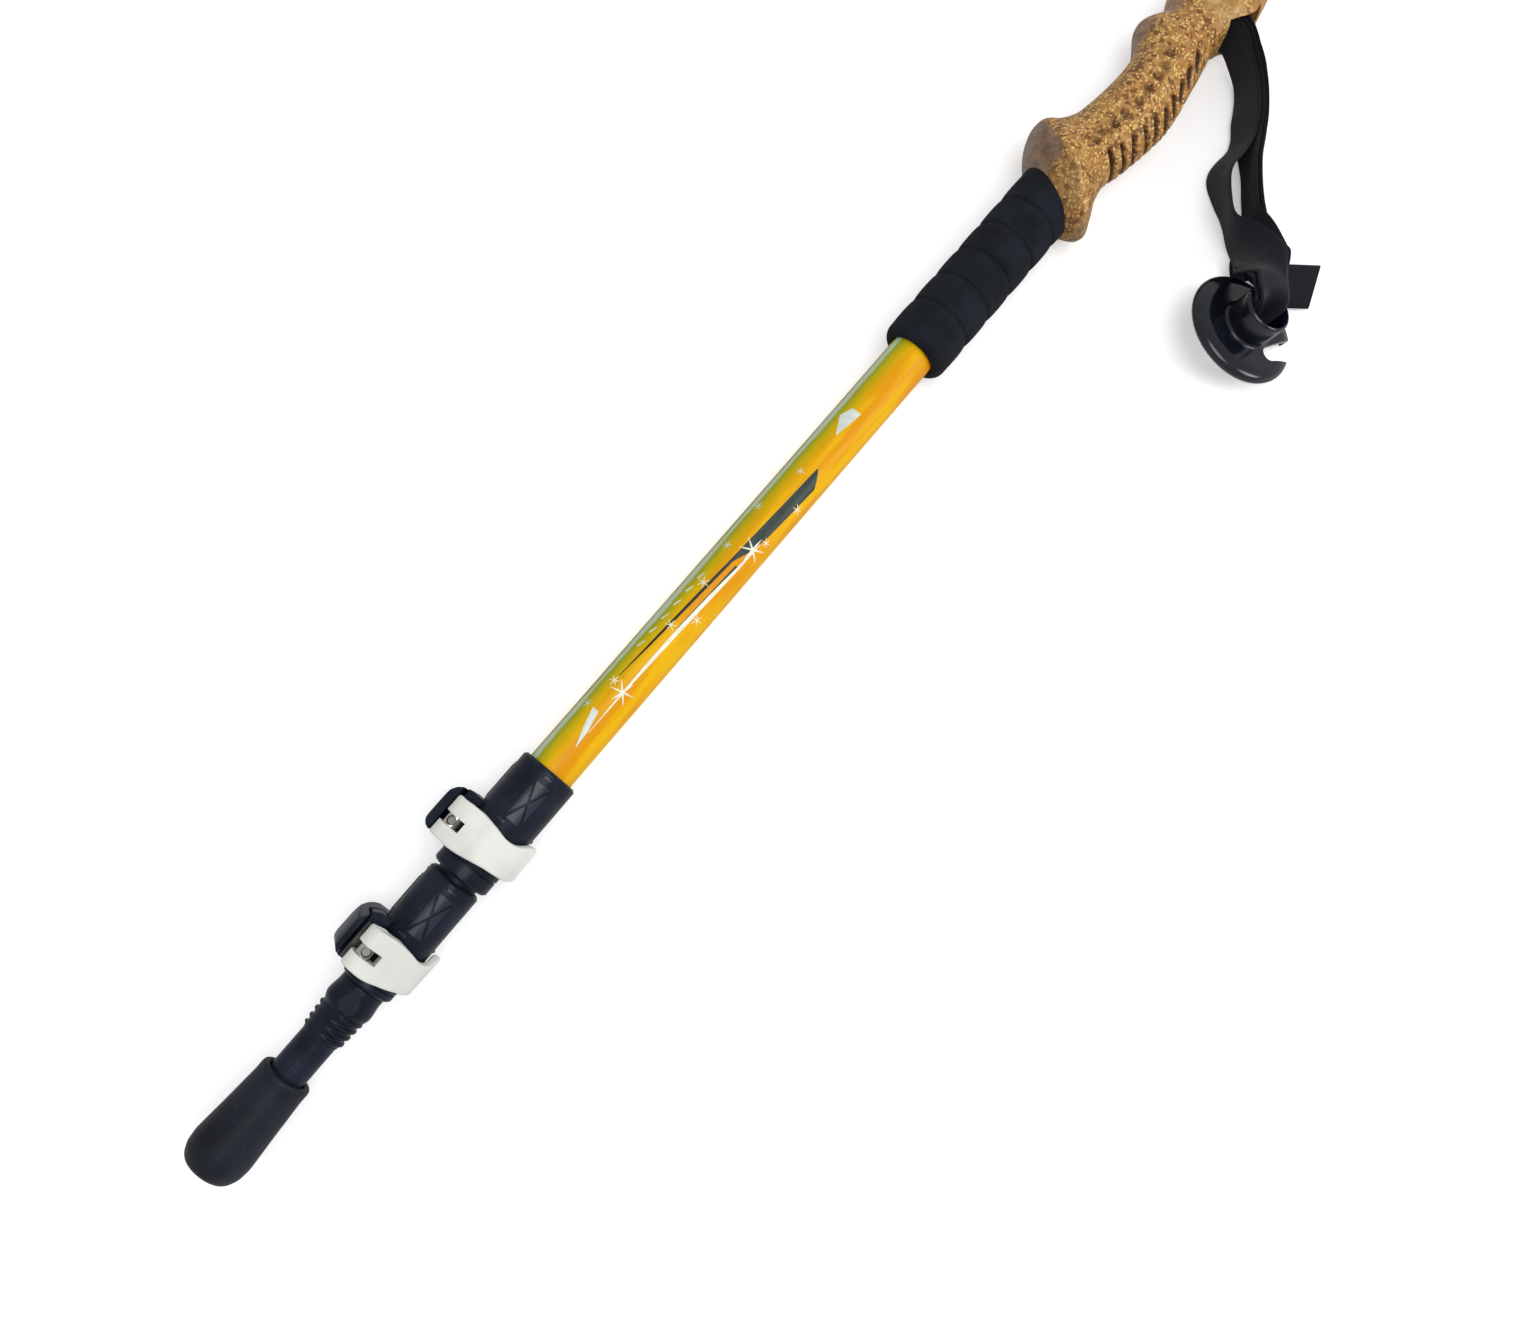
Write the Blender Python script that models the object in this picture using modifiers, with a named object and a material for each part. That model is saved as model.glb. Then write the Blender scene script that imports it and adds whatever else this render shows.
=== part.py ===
"""Alpenstock: a three-section telescopic pole with two lever locks, pushed together and lying down.

Frame: the origin is the centre of the rubber foot's sole. +X runs along the shaft to the
handle, +Y is the finger side of the grip and +Z is up. The shaft's axis is the X axis.
Sizes are in millimetres and the model is built in metres.
"""
import math

import bmesh
import bpy
import numpy as np
from mathutils import Matrix, Vector

MM = 0.001

# Clearances and facets
GAP = 0.3                   # between pieces that touch or slide
SIDES = 36                  # facets round a turned piece
SMALL_SIDES = 20            # facets round pins, screws and washers

# Tubes: outer diameter and wall of each section, top section first
UPPER_OD = 18.0
MIDDLE_OD = 16.0
LOWER_OD = 14.0
TUBE_WALL = 0.65

# Rubber foot
FOOT_LENGTH = 38.5
FOOT_RADIUS = 11.2
FOOT_SOLE_RADIUS = 7.8
FOOT_WAIST_RADIUS = 9.4
FOOT_RIM_RADIUS = 9.3
FOOT_FLOOR = 3.0
FOOT_WASHER = 1.2

# Tip ferrule and its hard metal tip
TIP_RADIUS = 1.75
TIP_LENGTH = 15.0
TIP_SHOWN = 3.2
FERRULE_END_RADIUS = 4.5
FERRULE_RADIUS = 6.6
FERRULE_NECK = 15.5         # plain length between the foot's rim and the thread
THREAD_PITCH = 2.75
THREAD_TURNS = 4
THREAD_ROOT = (6.85, 7.6)   # radius at the thread's lower and upper end
THREAD_HEIGHT = 0.95
SOCKET_COLLAR = 10.5
COLLAR_RADIUS = (8.9, 8.3)
SOCKET_DEPTH = 11.5
SOCKET_FLOOR_GAP = 0.5

# Lever locks
JAW_LENGTH = 19.5
JAW_WALL = 2.9
SLEEVE_LENGTH = 22.1
SLEEVE_WALL = 2.05
LOWER_SLEEVE_WALL = 1.9
SLEEVE_BAND = 0.9           # chamfer at the sleeve's upper edge
UPPER_COLLAR = 5.8
LOWER_COLLAR = 3.2
SLIT = 1.4
JAW_TOP = 5.2               # height of the cam plate's seat above the shaft's axis
JAW_BOTTOM = 8.0
JAW_REACH = 5.1             # from the screw's axis to the jaw's outer end
HOOD_GAP = 1.0
HOOD_TOP = 7.5
HOOD_ROUND = (5.0, 8.0)     # corner radius at the hood's lower and upper end
HOOD_CORNER = 0.55          # chamfer of the hood's top edge, of the hood's thickness
UPPER_HOOD = 4.2
LOWER_HOOD = 2.2
SCREW_X = 7.8               # from the jaw's lower end to the screw's axis
SCREW_RADIUS = 1.4
SCREW_HEAD_RADIUS = 3.2
SCREW_HEAD = 2.5
SCREW_RECESS = 0.4
WASHER = 0.8
PLATE = 0.8
PLATE_LENGTH = 14.0
PLATE_WIDTH = 8.0
BARREL_RADIUS = 2.8
BARREL_LENGTH = 13.0
KNUCKLE_RADIUS = 4.2
LOBE_RADIUS = 4.9
LEVER_FORK = 4.1
LEVER_CLEAR = 0.5           # between the lever's arch and the jaw ring
LEVER_THICK = 3.0
LOWER_LOCK_ROLL = math.radians(28.0)
LOCK_SPACING = 1.7          # shaft that shows between the two locks

# Sections: shown shaft, grips and overlaps
TUBE_SHOWN = 208.4
TUBE_START = 20.2           # from the jaw's lower end to the end of the tube in the sleeve
UPPER_IN_GRIP = 100.4       # upper tube's length above the foam's top
MIDDLE_TUBE_END = 20.0      # from the upper tube's end down to the middle tube's end
LOWER_TUBE_END = 30.0       # from the middle tube's end down to the lower tube's end
BUSH_HEAD = 12.0
BUSH_STEM = 14.0
BUSH_VENT = 3.5

# Foam extension grip
FOAM_LENGTH = 86.8
FOAM_RADIUS = 13.6
FOAM_EDGE = 3.8
FOAM_INNER_EDGE = 0.8
FOAM_GROOVES = 5
FOAM_GROOVE_FIRST = 17.7
FOAM_GROOVE_PITCH = 14.2
FOAM_GROOVE_DEPTH = 0.7
FOAM_GROOVE_WIDTH = 2.0
FOAM_SLANT = 0.405          # rise of the foam's top along X for each unit of Y

# Moulded grip: x above its base on the axis, slant, front, back and side reach
GRIP_STATIONS = (
    (0.0, FOAM_SLANT, 14.0, 13.9, 13.4),
    (3.4, 0.47, 19.6, 17.2, 15.2),
    (7.8, 0.54, 22.7, 20.0, 17.3),
    (11.6, 0.6, 23.0, 20.5, 18.3),
    (15.5, 0.6, 21.6, 19.0, 17.6),
    (21.1, 0.55, 18.3, 15.4, 15.6),
    (29.1, 0.45, 14.9, 13.6, 14.2),
    (36.1, 0.3, 13.2, 15.8, 13.6),
    (47.1, 0.12, 11.8, 18.0, 13.5),
    (57.1, 0.0, 10.9, 19.1, 13.6),
    (67.1, 0.0, 10.6, 18.2, 13.4),
    (76.1, 0.0, 11.6, 16.9, 13.0),
    (82.1, 0.0, 14.6, 15.9, 12.9),
    (88.1, 0.0, 18.4, 14.9, 12.9),
    (93.1, 0.0, 18.9, 14.0, 12.8),
    (98.1, 0.0, 16.0, 12.8, 12.6),
    (102.6, 0.0, 13.2, 12.3, 12.6),
    (107.1, 0.0, 15.6, 13.3, 13.2),
    (112.1, 0.0, 17.6, 16.8, 14.0),
    (118.1, 0.0, 17.4, 18.2, 14.6),
    (125.1, 0.0, 17.3, 17.6, 14.8),
    (130.1, 0.0, 16.5, 17.2, 14.6),
    (135.1, 0.0, 14.5, 15.6, 13.6),
    (139.1, 0.0, 11.0, 12.4, 11.0),
    (141.4, 0.0, 6.0, 7.4, 6.5),
)
GRIP_SIDES = 36
HEAD_START = 99.0           # above the base, where the back starts to square off round the slot
HEAD_BLEND = 9.0
HEAD_SQUARE = 0.52          # 0 is an ellipse, 1 a rectangle

# Strap pin and the slot that the webbing goes through
PIN_RADIUS = 1.25
PIN_X = 119.4               # above the grip's base
PIN_Y = -3.0
PIN_TOP = 12.2
PIN_BOTTOM = 13.7
SLOT_HALF = 10.8
SLOT_LIP = 10.5             # from the pin along the slot to where its mouth deepens
SLOT_LIP_DEPTH = 12.9       # lower side of the deepened mouth, where the strap starts to drop
SLOT_FLARE = math.radians(10.0)   # the strap can swing this far either way
SLOT_TURN = math.radians(-18.0)   # the slot's lean towards the shaft, about the pin

# Wrist strap webbing
WEB_WIDTH = 20.0
WEB_THICK = 1.4
WEB_PITCH = 2.0             # from one layer's middle to the next
WEB_ACROSS = 5              # facets across the webbing
FLOOR_Z = -18.1             # underside of webbing that lies on the ground

# Mud basket, threaded on the strap
BASKET_CENTRE = (473.5, -93.0, -3.0)
BASKET_TILT = math.radians(23.2)
BASKET_LEAN = math.radians(-39.4)
STRAP_ENTRY = math.radians(38.5)
BASKET_RADIUS = 23.7
BASKET_WALL = 1.8
BASKET_SKIRT = 5.2
BASKET_BORE = 7.75
HUB_RADIUS = 10.0
HUB_HEIGHT = 12.0
NOTCH_END = (-10.7, -9.4)
NOTCH_TURN = math.radians(-70.5)
NOTCH_WIDTH = 6.4
NOTCH_FLARE = math.radians(6.0)
FLAT_TURN = math.radians(-73.0)
FLAT_REACH = 21.6          # from the hub's axis to the flat beside the notch

# Heights along the shaft that follow from the sizes above
FERRULE_END_X = FOOT_FLOOR + GAP + FOOT_WASHER + GAP + TIP_SHOWN
THREAD_X = FOOT_LENGTH + FERRULE_NECK
COLLAR_X = THREAD_X + THREAD_PITCH * THREAD_TURNS
FERRULE_TOP_X = COLLAR_X + SOCKET_COLLAR
LOWER_LOCK_X = FERRULE_TOP_X + GAP + LOWER_COLLAR
UPPER_LOCK_X = LOWER_LOCK_X + JAW_LENGTH + SLEEVE_LENGTH + LOCK_SPACING + UPPER_COLLAR
UPPER_SLEEVE_X = UPPER_LOCK_X + JAW_LENGTH + SLEEVE_LENGTH
FOAM_X = UPPER_SLEEVE_X + TUBE_SHOWN
FOAM_TOP_X = FOAM_X + FOAM_LENGTH
GRIP_X = FOAM_TOP_X + GAP
UPPER_TOP_X = FOAM_TOP_X + UPPER_IN_GRIP
MIDDLE_TOP_X = UPPER_TOP_X - MIDDLE_TUBE_END
LOWER_TOP_X = MIDDLE_TOP_X - LOWER_TUBE_END
PIN_POINT = (GRIP_X + PIN_X, PIN_Y)

UPPER_BORE = UPPER_OD / 2 - TUBE_WALL
MIDDLE_BORE = MIDDLE_OD / 2 - TUBE_WALL
LOWER_BORE = LOWER_OD / 2 - TUBE_WALL


def clear_scene():
    for obj in list(bpy.data.objects):
        bpy.data.objects.remove(obj, do_unlink=True)


clear_scene()
PARTS = bpy.data.collections.new("alpenstock")
bpy.context.scene.collection.children.link(PARTS)


def material(name, colour, roughness, metallic=0.0):
    mat = bpy.data.materials.new(name)
    mat.use_nodes = True
    shader = mat.node_tree.nodes["Principled BSDF"]
    shader.inputs["Base Color"].default_value = (*colour, 1.0)
    shader.inputs["Roughness"].default_value = roughness
    shader.inputs["Metallic"].default_value = metallic
    mat.diffuse_color = (*colour, 1.0)
    return mat


CORK = material("speckled_cork", (0.36, 0.20, 0.075), 0.75)
FOAM = material("black_foam", (0.013, 0.016, 0.022), 0.9)
YELLOW = material("yellow_anodised", (0.87, 0.46, 0.0), 0.28, 0.35)
ALUMINIUM = material("bare_aluminium", (0.62, 0.63, 0.65), 0.35, 1.0)
BLACK = material("black_moulding", (0.02, 0.022, 0.026), 0.45)
WHITE = material("white_moulding", (0.76, 0.78, 0.76), 0.4)
NICKEL = material("nickel_plate", (0.72, 0.69, 0.66), 0.22, 1.0)
STEEL = material("steel", (0.5, 0.5, 0.5), 0.35, 1.0)
RUBBER = material("black_rubber", (0.018, 0.018, 0.02), 0.8)
WEBBING = material("black_webbing", (0.01, 0.01, 0.013), 0.95)
BASKET = material("glossy_moulding", (0.01, 0.012, 0.022), 0.25)
CARBIDE = material("carbide", (0.35, 0.36, 0.38), 0.3, 1.0)


def new_object(name, mesh, mat=None):
    obj = bpy.data.objects.new(name, mesh)
    PARTS.objects.link(obj)
    if mat is not None:
        mesh.materials.append(mat)
    return obj


def mesh_from(name, verts, edges, faces):
    mesh = bpy.data.meshes.new(name)
    mesh.from_pydata([tuple(float(c) * MM for c in v) for v in verts], edges, faces)
    mesh.validate()
    return mesh


def settle(obj, angle=32.0):
    """Keep the object's evaluated shape as its own closed mesh, smooth except at sharp edges."""
    bpy.context.view_layer.update()
    graph = bpy.context.evaluated_depsgraph_get()
    mesh = bpy.data.meshes.new_from_object(obj.evaluated_get(graph), depsgraph=graph)
    obj.modifiers.clear()
    obj.data = mesh
    work = bmesh.new()
    work.from_mesh(mesh)
    bmesh.ops.remove_doubles(work, verts=work.verts, dist=0.002 * MM)
    bmesh.ops.dissolve_degenerate(work, dist=0.001 * MM, edges=work.edges)
    bmesh.ops.recalc_face_normals(work, faces=work.faces)
    work.to_mesh(mesh)
    work.free()
    mesh.shade_smooth()
    mesh.set_sharp_from_angle(angle=math.radians(angle))
    return obj


def combine(body, tool, operation):
    """Cut, join or intersect body with tool, which is then used up."""
    step = body.modifiers.new(operation.lower(), "BOOLEAN")
    step.operation = operation
    step.solver = "EXACT"
    step.object = tool
    settle(body)
    bpy.data.objects.remove(tool, do_unlink=True)
    return body


def cut(body, *tools):
    for tool in tools:
        combine(body, tool, "DIFFERENCE")
    return body


def turned(name, outer, inner=None, mat=None, sides=SIDES):
    """Revolve (x, radius) points, listed in rising x, about the X axis with a Screw modifier.

    Without an inner side the piece is solid to its axis.
    """
    loop = [(r, 0.0, x) for x, r in reversed(outer)]
    if inner is None:
        loop = [(0.0, 0.0, outer[-1][0])] + loop + [(0.0, 0.0, outer[0][0])]
        edges = [(i, i + 1) for i in range(len(loop) - 1)]
    else:
        loop += [(r, 0.0, x) for x, r in inner]
        edges = [(i, (i + 1) % len(loop)) for i in range(len(loop))]
    obj = new_object(name, mesh_from(name, loop, edges, []), mat)
    screw = obj.modifiers.new("turn", "SCREW")
    screw.axis = "Z"
    screw.angle = math.tau
    screw.steps = sides
    screw.render_steps = sides
    screw.use_merge_vertices = True
    screw.merge_threshold = 0.002 * MM
    settle(obj)
    obj.data.transform(Matrix.Rotation(math.pi / 2, 4, "Y"))
    return obj


def rod(name, centre, radius, length, axis="X", mat=None, sides=SMALL_SIDES):
    """Solid cylinder with its middle at centre, along X, Y or Z."""
    work = bmesh.new()
    bmesh.ops.create_cone(work, cap_ends=True, segments=sides, radius1=radius * MM,
                          radius2=radius * MM, depth=length * MM)
    mesh = bpy.data.meshes.new(name)
    work.to_mesh(mesh)
    work.free()
    if axis == "X":
        mesh.transform(Matrix.Rotation(math.pi / 2, 4, "Y"))
    elif axis == "Y":
        mesh.transform(Matrix.Rotation(math.pi / 2, 4, "X"))
    mesh.transform(Matrix.Translation(Vector(centre) * MM))
    return new_object(name, mesh, mat)


def box(name, low, high, mat=None):
    work = bmesh.new()
    bmesh.ops.create_cube(work, size=1.0)
    size = [(b - a) * MM for a, b in zip(low, high)]
    middle = [(a + b) / 2 * MM for a, b in zip(low, high)]
    bmesh.ops.scale(work, vec=size, verts=work.verts)
    bmesh.ops.translate(work, vec=middle, verts=work.verts)
    mesh = bpy.data.meshes.new(name)
    work.to_mesh(mesh)
    work.free()
    return new_object(name, mesh, mat)


def plate(name, outline, low, high, axis, mat=None):
    """Flat outline extruded from low to high along X (outline in Y, Z) or Z (outline in X, Y)."""
    curve = bpy.data.curves.new(name, "CURVE")
    curve.dimensions = "2D"
    curve.fill_mode = "BOTH"
    curve.extrude = (high - low) / 2 * MM
    spline = curve.splines.new("POLY")
    spline.points.add(len(outline) - 1)
    for point, (a, b) in zip(spline.points, outline):
        point.co = (a * MM, b * MM, 0.0, 1.0)
    spline.use_cyclic_u = True
    shape = bpy.data.objects.new(name, curve)
    PARTS.objects.link(shape)
    bpy.context.view_layer.update()
    graph = bpy.context.evaluated_depsgraph_get()
    mesh = bpy.data.meshes.new_from_object(shape.evaluated_get(graph), depsgraph=graph)
    bpy.data.objects.remove(shape, do_unlink=True)
    lift = Matrix.Translation((0.0, 0.0, (low + high) / 2 * MM))
    mesh.transform(lift)
    if axis == "X":
        mesh.transform(Matrix(((0, 0, 1, 0), (1, 0, 0, 0), (0, 1, 0, 0), (0, 0, 0, 1))))
    obj = new_object(name, mesh, None)
    mesh.materials.clear()
    if mat is not None:
        mesh.materials.append(mat)
    return settle(obj)


def loft(name, rings, mat=None):
    """Skin over rings of equally many points, closed by a flat face at each end."""
    count = len(rings[0])
    verts = [p for ring in rings for p in ring]
    faces = [tuple(range(count))]
    for k in range(len(rings) - 1):
        for i in range(count):
            j = (i + 1) % count
            faces.append((k * count + i, (k + 1) * count + i, (k + 1) * count + j, k * count + j))
    faces.append(tuple(reversed(range(len(verts) - count, len(verts)))))
    obj = new_object(name, mesh_from(name, verts, [], faces), mat)
    return settle(obj)


def set_origin(obj, point):
    """Move the object's origin to a point in millimetres, leaving its shape where it is."""
    offset = Vector(point) * MM
    obj.data.transform(Matrix.Translation(-offset))
    obj.location = obj.location + offset


def empty(name, location, parent=None, roll=0.0):
    obj = bpy.data.objects.new(name, None)
    obj.empty_display_size = 0.01
    obj.location = Vector(location) * MM
    obj.rotation_euler = (roll, 0.0, 0.0)
    PARTS.objects.link(obj)
    obj.parent = parent
    return obj


def arc(centre, radius, start, end, steps):
    """Points on a circular arc, angles in degrees."""
    points = []
    for i in range(steps + 1):
        a = math.radians(start + (end - start) * i / steps)
        points.append((centre[0] + radius * math.cos(a), centre[1] + radius * math.sin(a)))
    return points


def between(value, low, high):
    """How far value is from low to high, kept to 0..1."""
    return max(0.0, min(1.0, (value - low) / (high - low)))


# Foot, washer, tip and ferrule

def ferrule_radius(x):
    """Outer radius of the ferrule inside the foot, tapering to its lower end."""
    rise = between(x, FERRULE_END_X, FOOT_LENGTH - 2.5)
    return FERRULE_END_RADIUS + (FERRULE_RADIUS - FERRULE_END_RADIUS) * rise


def make_foot():
    outer = [
        (0.0, FOOT_SOLE_RADIUS),
        (1.5, FOOT_SOLE_RADIUS + 1.6),
        (4.4, FOOT_RADIUS - 0.45),
        (8.4, FOOT_RADIUS),
        (12.0, FOOT_RADIUS - 0.25),
        (20.0, FOOT_WAIST_RADIUS + 0.9),
        (FOOT_LENGTH - 4.5, FOOT_WAIST_RADIUS),
        (FOOT_LENGTH - 0.8, FOOT_RIM_RADIUS + 0.15),
        (FOOT_LENGTH, FOOT_RIM_RADIUS - 0.45),
    ]
    foot = turned("rubber_foot", outer, None, RUBBER)
    steps = (FERRULE_END_X, FOOT_LENGTH - 2.5, FOOT_LENGTH + 1.0)
    bore = [(FOOT_FLOOR, FERRULE_END_RADIUS + GAP)]
    bore += [(x, ferrule_radius(x) + GAP) for x in steps]
    cut(foot, turned("foot_bore", bore))
    washer_low = FOOT_FLOOR + GAP
    washer = turned("foot_washer", [(washer_low, FERRULE_END_RADIUS), (washer_low + FOOT_WASHER, FERRULE_END_RADIUS)],
                    [(washer_low, 1.2), (washer_low + FOOT_WASHER, 1.2)], STEEL, SMALL_SIDES)
    return foot, washer


def thread_rib():
    """Spiral rib of the basket thread, its root sunk in the shank and its ends run out."""
    rings = []
    steps = THREAD_TURNS * 14
    length = THREAD_PITCH * THREAD_TURNS - 1.6
    for i in range(steps + 1):
        part = i / steps
        angle = math.tau * THREAD_TURNS * part
        x = THREAD_X + 0.8 + length * part
        root = THREAD_ROOT[0] + (THREAD_ROOT[1] - THREAD_ROOT[0]) * part
        rise = THREAD_HEIGHT * between(min(i, steps - i), 0, 7) - 0.05
        ring = []
        for dx, r in ((-0.95, root - 0.6), (0.95, root - 0.6), (0.42, root + rise), (-0.42, root + rise)):
            ring.append((x + dx, r * math.cos(angle), r * math.sin(angle)))
        rings.append(ring)
    return loft("thread_rib", rings)


def make_ferrule():
    end = FERRULE_END_X
    outer = [
        (end, FERRULE_END_RADIUS - 0.5),
        (end + 0.8, ferrule_radius(end + 0.8)),
        (FOOT_LENGTH - 2.5, FERRULE_RADIUS),
        (THREAD_X - 0.6, FERRULE_RADIUS),
        (THREAD_X, THREAD_ROOT[0]),
        (COLLAR_X - 0.4, THREAD_ROOT[1]),
        (COLLAR_X + 1.4, COLLAR_RADIUS[0] - 0.3),
        (COLLAR_X + 2.6, COLLAR_RADIUS[0]),
        (COLLAR_X + 4.2, COLLAR_RADIUS[0] - 0.1),
        (COLLAR_X + 7.5, COLLAR_RADIUS[1]),
        (FERRULE_TOP_X - 0.5, COLLAR_RADIUS[1]),
        (FERRULE_TOP_X, COLLAR_RADIUS[1] - 0.4),
    ]
    ferrule = turned("tip_ferrule", outer, None, BLACK)
    combine(ferrule, thread_rib(), "UNION")
    socket_low = FERRULE_TOP_X - SOCKET_DEPTH
    socket = [(socket_low, LOWER_OD / 2 + GAP), (FERRULE_TOP_X + 1.0, LOWER_OD / 2 + GAP)]
    seat_low = end - 1.0
    seat_high = end - TIP_SHOWN + TIP_LENGTH + GAP
    seat = [(seat_low, TIP_RADIUS + GAP), (seat_high, TIP_RADIUS + GAP)]
    cut(ferrule, turned("tube_socket", socket), turned("tip_seat", seat, sides=SMALL_SIDES))
    tip_low = end - TIP_SHOWN
    tip_points = [(tip_low, 1.1), (tip_low + 0.9, TIP_RADIUS), (tip_low + TIP_LENGTH, TIP_RADIUS)]
    turned("carbide_tip", tip_points, None, CARBIDE, SMALL_SIDES)
    return socket_low + SOCKET_FLOOR_GAP


# Lever locks, each made in a frame whose origin is on the shaft's axis at the jaw's lower end

class Lock:
    """Sizes of one lock that follow from the tube that it grips and the tube that it sits on."""

    def __init__(self, prefix, gripped, carried, collar, sleeve_wall, hood):
        self.prefix = prefix
        self.bore = gripped / 2 + GAP
        self.ring = self.bore + JAW_WALL
        self.sleeve_bore = carried / 2 + GAP
        self.sleeve = self.sleeve_bore + sleeve_wall
        self.collar = collar
        self.screw_y = self.ring + GAP
        self.plate_low = JAW_TOP + GAP
        self.barrel_z = self.plate_low + PLATE + GAP + LOBE_RADIUS
        self.jaw_out = self.screw_y + JAW_REACH
        self.hood_in = self.jaw_out + HOOD_GAP
        self.hood_out = self.hood_in + hood
        self.corner = hood * HOOD_CORNER
        self.seat_in = self.screw_y - PLATE_WIDTH / 2 + 0.2
        self.arch = self.ring + LEVER_CLEAR

    def name(self, piece):
        return self.prefix + "_" + piece


def make_clamp(lock):
    end = JAW_LENGTH + SLEEVE_LENGTH
    outer = [
        (-lock.collar, lock.ring - 0.9),
        (-lock.collar + 0.8, lock.ring - 0.1),
        (-0.5, lock.ring - 0.1),
        (-0.3, lock.ring - 0.6),
        (0.0, lock.ring - 0.6),
        (0.2, lock.ring),
        (JAW_LENGTH - 0.4, lock.ring),
        (JAW_LENGTH + 0.4, lock.sleeve),
        (end - SLEEVE_BAND, lock.sleeve),
        (end, lock.sleeve - SLEEVE_BAND),
    ]
    clamp = turned(lock.name("clamp"), outer, None, BLACK)
    low_jaw = [
        (lock.bore - 3.0, -JAW_BOTTOM),
        (lock.hood_out - 3.0, -JAW_BOTTOM),
        (lock.hood_out - 0.9, -JAW_BOTTOM + 0.9),
        (lock.hood_out, -JAW_BOTTOM + 3.0),
        (lock.hood_out, HOOD_TOP - lock.corner),
        (lock.hood_out - 0.3 * lock.corner, HOOD_TOP - 0.3 * lock.corner),
        (lock.hood_out - lock.corner, HOOD_TOP),
        (lock.hood_in, HOOD_TOP),
        (lock.hood_in, -SLIT / 2),
        (lock.bore - 3.0, -SLIT / 2),
    ]
    high_jaw = [
        (lock.bore - 3.0, -SLIT / 2 - 0.1),
        (lock.bore + 1.0, -SLIT / 2 - 0.1),
        (lock.bore + 1.0, SLIT / 2),
        (lock.jaw_out, SLIT / 2),
        (lock.jaw_out, JAW_TOP - 0.6),
        (lock.jaw_out - 0.6, JAW_TOP),
        (lock.bore - 3.0, JAW_TOP),
    ]
    jaws = plate("low_jaw", low_jaw, 0.2, JAW_LENGTH - 0.3, "X")
    combine(jaws, plate("high_jaw", high_jaw, 0.2, JAW_LENGTH - 0.3, "X"), "UNION")
    round_top = lock.hood_out + 0.001
    plan = [(0.0, -1.0)]
    low_round, high_round = HOOD_ROUND
    plan += arc((low_round, round_top - low_round), low_round, 180, 90, 6)
    plan += arc((JAW_LENGTH - high_round, round_top - high_round), high_round, 90, 0, 6)
    plan += [(JAW_LENGTH, -1.0)]
    combine(jaws, plate("jaw_plan", plan, -20.0, 20.0, "Z"), "INTERSECT")
    combine(clamp, jaws, "UNION")
    bore_low = turned("grip_bore", [(-lock.collar - 1.0, lock.bore), (TUBE_START - GAP, lock.bore)])
    bore_high = turned("sleeve_bore", [(TUBE_START - GAP - 0.02, lock.sleeve_bore), (end + 1.0, lock.sleeve_bore)])
    slit = box("slit", (-lock.collar - 1.0, lock.bore - 1.5, -SLIT / 2), (JAW_LENGTH + 2.5, lock.hood_in, SLIT / 2))
    seat = box("cam_seat", (-0.5, lock.seat_in, JAW_TOP), (SCREW_X * 2 + 0.9, lock.hood_in, lock.ring + 4.0))
    hole = rod("screw_hole", (SCREW_X, lock.screw_y, 0.0), SCREW_RADIUS + GAP, 40.0, "Z")
    recess_top = -JAW_BOTTOM + SCREW_RECESS + SCREW_HEAD + GAP + WASHER + GAP
    recess_middle = (recess_top - JAW_BOTTOM - 6.0) / 2
    recess_length = recess_top + JAW_BOTTOM + 6.0
    recess = rod("screw_recess", (SCREW_X, lock.screw_y, recess_middle), SCREW_HEAD_RADIUS + GAP, recess_length, "Z")
    cut(clamp, bore_low, bore_high, slit, seat, hole, recess)
    return clamp


def knuckle_outline(lock):
    """Cam outline about the barrel: round, with a lobe towards the plate when shut."""
    points = []
    for i in range(32):
        a = math.tau * i / 32
        off = abs((a - 1.5 * math.pi + math.pi) % math.tau - math.pi)
        lobe = math.cos(min(off / math.radians(52.0), 1.0) * math.pi / 2) ** 2
        r = KNUCKLE_RADIUS + (LOBE_RADIUS - KNUCKLE_RADIUS) * lobe
        points.append((lock.screw_y + r * math.cos(a), lock.barrel_z + r * math.sin(a)))
    return points


# Lever plan along its arch: place 0..1, lower edge and upper edge above the jaw's lower end
LEVER_PLAN = (
    (0.0, 0.4, 16.2),
    (0.15, 0.2, 16.5),
    (0.35, 1.4, 15.6),
    (0.5, 2.3, 14.6),
    (0.65, 2.6, 15.0),
    (0.85, 3.0, 17.5),
    (1.0, 4.2, 17.9),
)
LEVER_START = 50.0          # degrees round the shaft from +Y
LEVER_END = 190.0
LEVER_STATIONS = 13


def lever_edges(place):
    for (p0, a0, b0), (p1, a1, b1) in zip(LEVER_PLAN, LEVER_PLAN[1:]):
        if place <= p1:
            t = (place - p0) / (p1 - p0)
            return a0 + (a1 - a0) * t, b0 + (b1 - b0) * t
    return LEVER_PLAN[-1][1:]


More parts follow.
